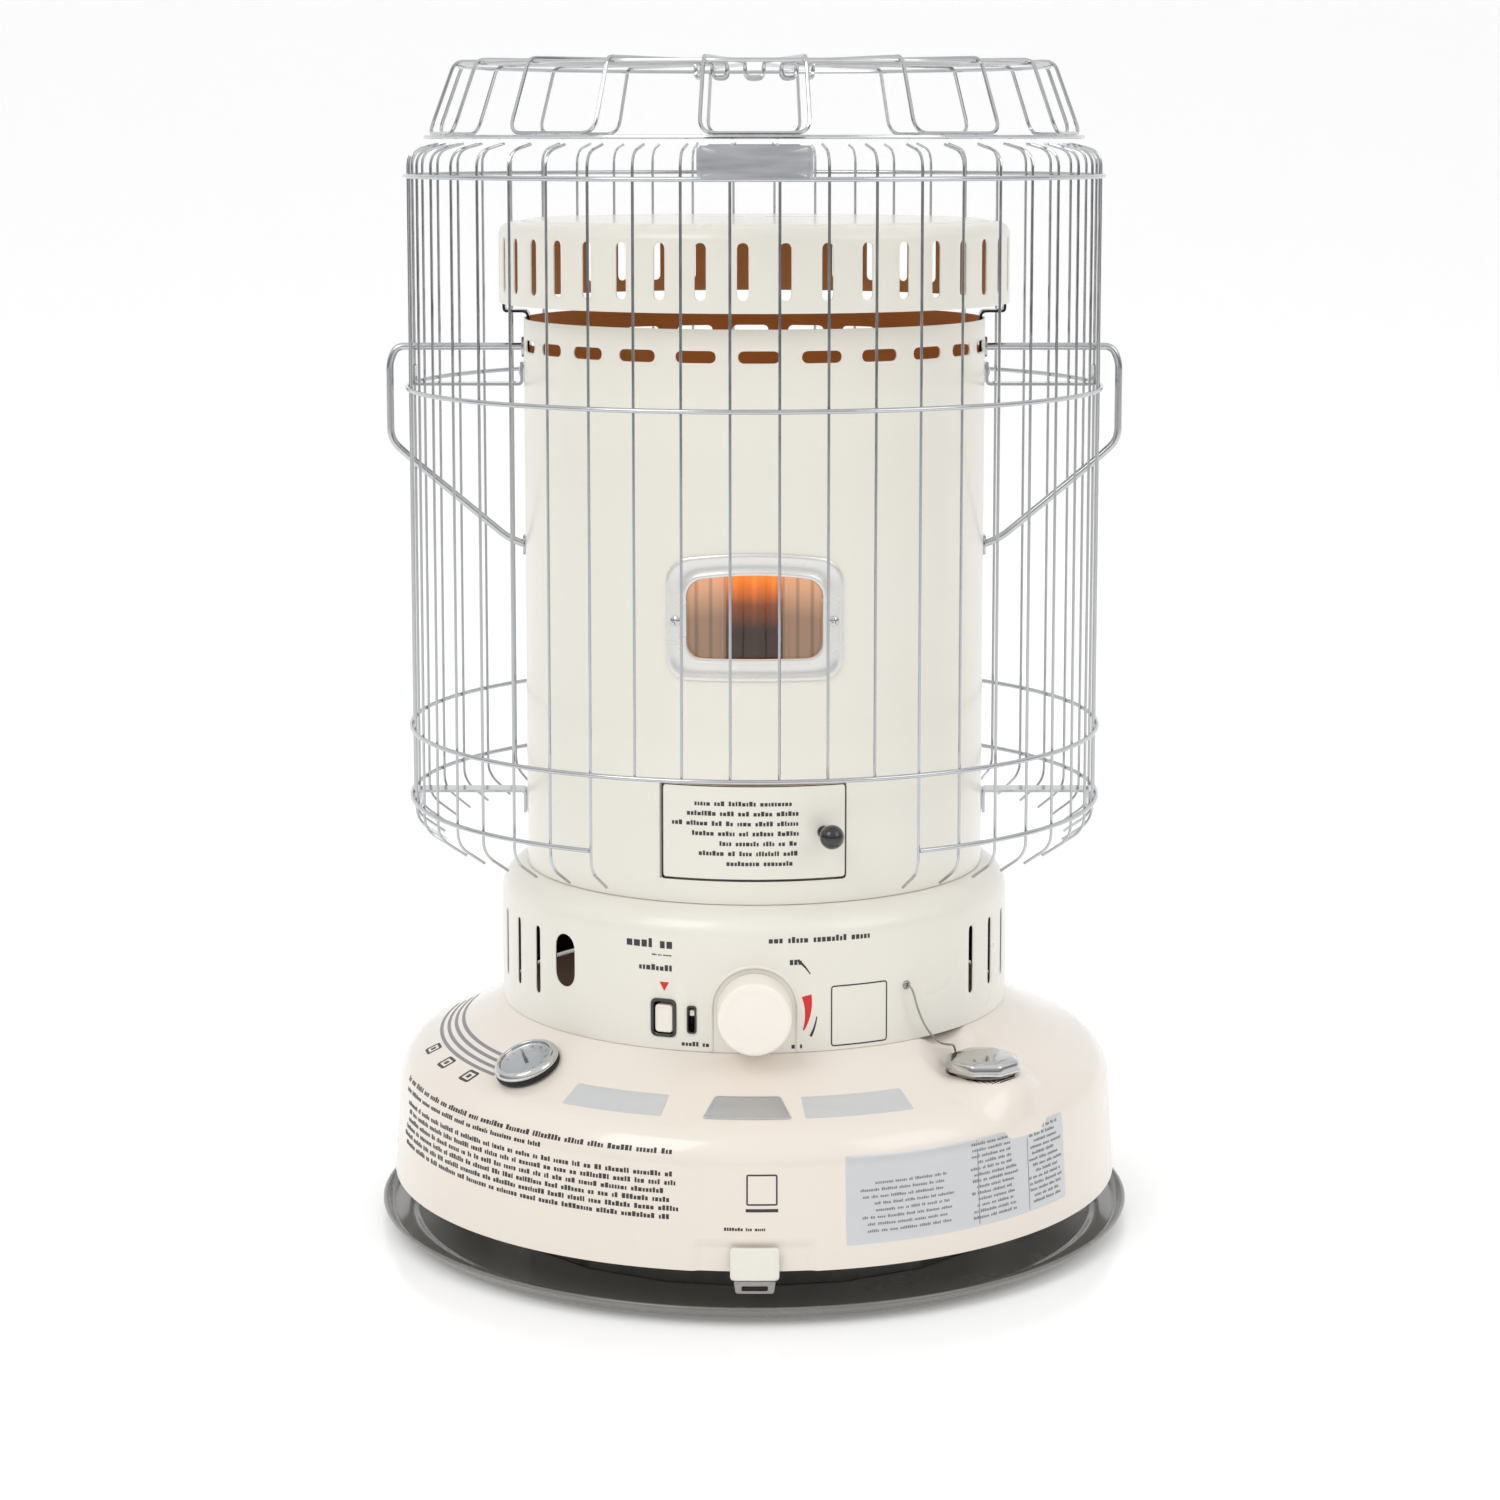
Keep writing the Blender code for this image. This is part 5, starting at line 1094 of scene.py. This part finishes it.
def gauge():
    radius = cabinetRadius + dial["out"]
    seat = at(dial["angle"], radius, slopeHeight(radius), dial["tilt"])
    bezel = [(6, 4.1), (19.4, 4.1), (19.4, 6.0), (17.6, 8.2), (15.6, 8.6), (15.2, 6.0), (6, 5.6)]
    gasket = [(6, 0.8), (19.0, 0.8), (19.4, 2.4), (19.2, 3.9), (6, 3.9)]
    r = np.linspace(dial["glass"], 0.01, 16)
    dome = np.column_stack([r, 7.4 + 3.4 * (1 - (r / dial["glass"]) ** 2)])
    for name, outline, steps, material in (
            ("Bezel", softened(bezel, 1.0, 6, closed=True), 96, brightChrome),
            ("Gasket", softened(gasket, 0.6, 5, closed=True), 96, rubber),
            ("Dome", np.vstack([dome, dome[::-1] - (0, 0.7)]), 96, domeGlass),
            ("Dial", [(1.2, 5.7), (15.0, 5.7), (15.0, 6.0), (1.2, 6.0)], 64, silverFoil)):
        node = "gauge_glass" if name == "Dome" else f"gauge_{name.lower()}"
        makePiece("gauge" + name, turned(outline, steps, seat), material, node)

    def onDial(along, up, height):
        return placed(np.stack(np.broadcast_arrays(along, up, height + 6.0), -1), seat)
    strokes = []
    for turn in np.radians(np.linspace(-20, 200, 9)):
        way = np.array((np.cos(turn), np.sin(turn)))
        stroke = line(way * dial["markFrom"], way * dial["markTo"], 3)
        strokes.append(stripParts(onDial, stroke, 0.25, 0.02, 0.08))
    makePiece("gaugeMarks", joined(*strokes), blackInk)


tether = {"lug": 129.0, "lugOut": 1.7, "lugUp": 2.1, "radius": 0.6, "eyelet": 34.7}


def capTether():
    turn = np.radians(tether["lug"])
    reach = cap["radius"] + tether["lugOut"]
    end = (capCentre[0] + reach * np.cos(turn), capCentre[1] + reach * np.sin(turn),
           padHeight + tether["lugUp"])
    route = np.array([(87.9, -126.7, 168.0), (89.2, -128.6, 167.6), (91.0, -129.8, 164.6),
                      (94.0, -129.0, 154.0), (99.0, -126.0, 142.5), (106.0, -120.5, 133.2),
                      (112.0, -114.0, 129.6), (115.3, -109.6, 128.0),
                      (end[0] + 0.4, end[1] + 0.4, 123.4), end])
    # a smooth curve through the route: each stretch is a cubic set by its two ends and their neighbours
    padded = np.vstack([route[:1], route, route[-1:]])
    a, b, c, d = (padded[i:i + len(route) - 1, None] for i in range(4))
    t = np.linspace(0, 1, 4, endpoint=False)[None, :, None]
    square, cube = (2 * a - 5 * b + 4 * c - d) * t ** 2, (3 * b - a - 3 * c + d) * t ** 3
    curve = (2 * b + (c - a) * t + square + cube) / 2
    points = np.vstack([curve.reshape(-1, 3), route[-1:]])
    data = bpy.data.curves.new("capTether", "CURVE")
    data.dimensions = "3D"
    data.bevel_depth = tether["radius"] * mm
    data.bevel_resolution = 3
    data.use_fill_caps = True
    spline = data.splines.new("POLY")
    spline.points.add(len(points) - 1)
    spline.points.foreach_set("co", np.column_stack([points * mm, np.ones(len(points))]).ravel())
    data.materials.append(plainSteel)
    piece = bpy.data.objects.new("capTether", data)
    bpy.context.scene.collection.objects.link(piece)
    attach(piece, "heater")
    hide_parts("cap_tether")
    eyelet = softened([(0.9, 0.05), (2.6, 0.05), (2.4, 0.8), (1.2, 1.2), (0.9, 0.8)], 0.3, 4, closed=True)
    seat = at(tether["eyelet"], cabinetRadius, route[0, 2], 90)
    makePiece("tetherEyelet", turned(eyelet, 32, seat), plainSteel)


tab = {"width": 27, "thick": 1.9, "clipWidth": 22, "flare": 0.1, "slot": (14.5, 2.6), "slotDrop": 0.6}


def frontTab():
    wall = onWall(tankEdge + 0.6)
    low, high = (v.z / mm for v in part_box("tray_catch"))
    shape = outlineOf(tab["width"], high - low, 2.2, 12, 10) + (0, (high + low) / 2)
    makePiece("trayCatch", padParts(wall, shape, slab(0.0, tab["thick"], 0.05, 7)), enamel, "tray_catch")
    low, high = (v.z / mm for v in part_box("tray_clip"))
    centre, height = (0, (low + high) / 2), high - low
    outer = outlineOf(tab["clipWidth"], height, 0.8, 10, 8)
    outer[:, 0] *= 1 + tab["flare"] * outer[:, 1] / height
    inner = outlineOf(*tab["slot"], 0.6, 10, 8) + (0, -tab["slotDrop"])
    section = [(0, 0.7), (0, 1.5), (0.08, 1.7), (0.92, 1.7), (1, 1.5), (1, 0.7)]
    makePiece("trayClip", framed(outer + centre, inner + centre, section, wall), plainSteel, "tray_clip")


labels = {"slope": 190, "wall": 218, "badge": (43, 18.5), "badgeTaper": 0.11, "up": 97.5, "foilHeight": 18,
          "block": (160, 50), "blockAngle": 34.5, "blockUp": 38, "square": 16.5, "icon": (9, 8), "iconUp": 88}


def tankLabels():
    slope, wall = onTank(labels["slope"]), onTank(labels["wall"])

    def slopeAlong(angle):
        return np.radians(angle) * labels["slope"]

    def wallAlong(angle):
        return np.radians(angle) * labels["wall"]
    width, height = labels["badge"]
    badge = outlineOf(width, height, 1.5, 20, 8)
    badge[:, 0] *= 1 - labels["badgeTaper"] * badge[:, 1] / (height / 2)
    rings = [(s, 0.02) for s in (0.03, 0.4, 0.7, 1)] + [(1, 0.9), (0.985, 1.1), (0.94, 1.1), (0.93, 0.7)]
    rings += [(s, 0.7) for s in (0.7, 0.4, 0.03)]
    makePiece("tankBadge", padParts(slope, badge + (-4, labels["up"]), rings), badgeMetal)
    foil = []
    for angle, wide in ((-24.4, 60), (17.6, 62)):
        shape = outlineOf(wide, labels["foilHeight"], 1.0, 24, 8) + (slopeAlong(angle), labels["up"])
        foil.append(padParts(slope, shape, slab(0.02, 0.16, 0.01, 7)))
    block = outlineOf(*labels["block"], 1.0, 60, 18) + (wallAlong(labels["blockAngle"]), labels["blockUp"])
    foil.append(padParts(wall, block, slab(0.02, 0.14, 0.003, 12)))
    makePiece("foilLabels", joined(*foil), silverFoil)

    rng = np.random.default_rng(3)
    black = [barRows(rng, left, wide, tops, half, wall, lift, indent) for left, wide, tops, half, indent in (
        (wallAlong(-74), 236, [66], 1.5, 0), (wallAlong(-73), 150, [60.5], 1.3, 0),
        (wallAlong(-73), 238, np.linspace(53.5, 29.5, 6), 1.4, 8), (-17, 26, [24], 0.9, 0))]
    square = outlineOf(labels["square"], labels["square"], 0.4, 8, 8) + (4, 46)
    black.append(stripParts(wall, square, 0.45, *lift, closed=True))
    black.append(stripParts(wall, line((-5, 34.5), (13, 34.5), 6), 0.9, *lift))
    onFoil = (0.15, 0.22)
    faded = [barRows(rng, wallAlong(angle), wide, tops, half, wall, onFoil, indent)
             for angle, wide, tops, half, indent in ((15.5, 62, np.linspace(47, 20, 8), 0.8, 10),
                                                     (34, 38, np.linspace(60, 18, 13), 0.85, 7),
                                                     (46, 34, np.linspace(60, 18, 13), 0.85, 7))]
    for angle in (35.5, 46.0):
        ruled = line((wallAlong(angle), 14), (wallAlong(angle), 62))
        faded.append(stripParts(wall, ruled, 0.25, *onFoil))
    for angle in (-76, -66.5, -57):
        icon = outlineOf(*labels["icon"], 0.6, 6, 6) + (slopeAlong(angle), labels["iconUp"])
        black.append(stripParts(slope, icon, 0.9, *lift, closed=True))
        black.append(stripParts(slope, line(icon.mean(0) - (1.5, 0), icon.mean(0) + (1.5, 0)), 1.6, *lift))
    for up in (96, 101, 106, 111):
        start, end = slopeAlong(np.array((-104, -52 - (up - 96) * 0.3)))
        faded.append(stripParts(slope, line((start, up), (end, up), 60), 1.1, *lift))
    makePiece("tankPrint", joined(*black), blackInk)
    makePiece("fadedPrint", joined(*faded), greyInk)


fuelCap()
gauge()
capTether()
frontTab()
tankLabels()
print("cap, gauge, tab and labels made")


# Finishes of the CAD nodes that stay.
kept = {
    plainSteel: ["tank_bottom", "draft_tube", "wick_guide", "wick_sleeve", "wick_shaft", "shaft_bracket",
                 "switch_bracket", "tip_bracket", "tether_collar", "gauge_stem", "burner_seat", "door_pin"],
    heatTintAndPaintedGlow: ["burner_outer", "burner_inner", "flame_spreader"],
    brass: ["filler_neck", "tip_weight", "wick_pinion", "float_arm"],
    wickWeave: ["wick"],
    cork: ["float"],
    blackGloss: ["gauge_needle"],
}
for material, names in kept.items():
    for name in names:
        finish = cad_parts[name].data.materials
        finish.clear()
        finish.append(material)
print("kept nodes finished")


# Room.
sweep = {"near": 9, "reach": 3.2, "bend": 1.6, "wide": 14, "top": 9}        # metres
# place, size in metres and watts
lamps = {"keyLight": ((-1.6, -2.0, 2.4), 1.6, 24), "fillLight": ((1.9, -1.4, 1.7), 1.4, 9)}


def room():
    # a pale sweep: flat floor, a quarter turn behind, then an upright wall
    turn = np.radians(np.linspace(-90, 0, 24))
    reach, bend = sweep["reach"], sweep["bend"]
    path = [(-sweep["near"], 0), (-2, 0)]
    path += np.stack([reach + bend * np.cos(turn), bend + bend * np.sin(turn)], 1).tolist()
    path += [(reach + bend, sweep["top"])]
    points = [(x, y, z) for y, z in path for x in (-sweep["wide"], sweep["wide"])]
    mesh = bpy.data.meshes.new("floor")
    mesh.from_pydata(points, [], gridFaces(len(path), 2, closedAcross=False).tolist())
    mesh.shade_smooth()
    # a little glow keeps the sweep white without burning out the heater
    mesh.materials.append(newMaterial("floor", Roughness=0.2, Base_Color="FAFAFA", Emission_Color="FFFFFF",
                                      Emission_Strength=0.16)[0])
    floor = bpy.data.objects.new("floor", mesh)
    floor.location.z = -0.0004
    bpy.context.scene.collection.objects.link(floor)
    world = bpy.data.worlds.new("room")
    world.use_nodes = True
    tree = world.node_tree
    # white overhead, greyer near the horizon, so bright metal has something dark to mirror
    split = addNode(tree, "SeparateXYZ", {"Vector": addNode(tree, "TexCoord").outputs["Generated"]})
    share = addNode(tree, "MapRange", {"Value": split.outputs["Z"], "From Min": 0.0, "From Max": 0.42})
    ramp = addNode(tree, "ValToRGB", {"Fac": share.outputs["Result"]})
    ramp.color_ramp.elements[0].color = linearColour("7C7D80")
    ramp.color_ramp.elements[1].color = linearColour("FFFFFF")
    tree.links.new(ramp.outputs["Color"], tree.nodes["Background"].inputs["Color"])
    tree.nodes["Background"].inputs["Strength"].default_value = 0.95
    bpy.context.scene.world = world
    for name, (spot, size, power) in lamps.items():
        lamp = bpy.data.lights.new(name, "AREA")
        lamp.size = size
        lamp.energy = power
        light = bpy.data.objects.new(name, lamp)
        light.location = spot
        light.rotation_euler = (Vector((0, 0, 0.35)) - Vector(spot)).to_track_quat("-Z", "Y").to_euler()
        bpy.context.scene.collection.objects.link(light)


room()
bpy.context.scene.view_settings.view_transform = "Standard"
print("room made")
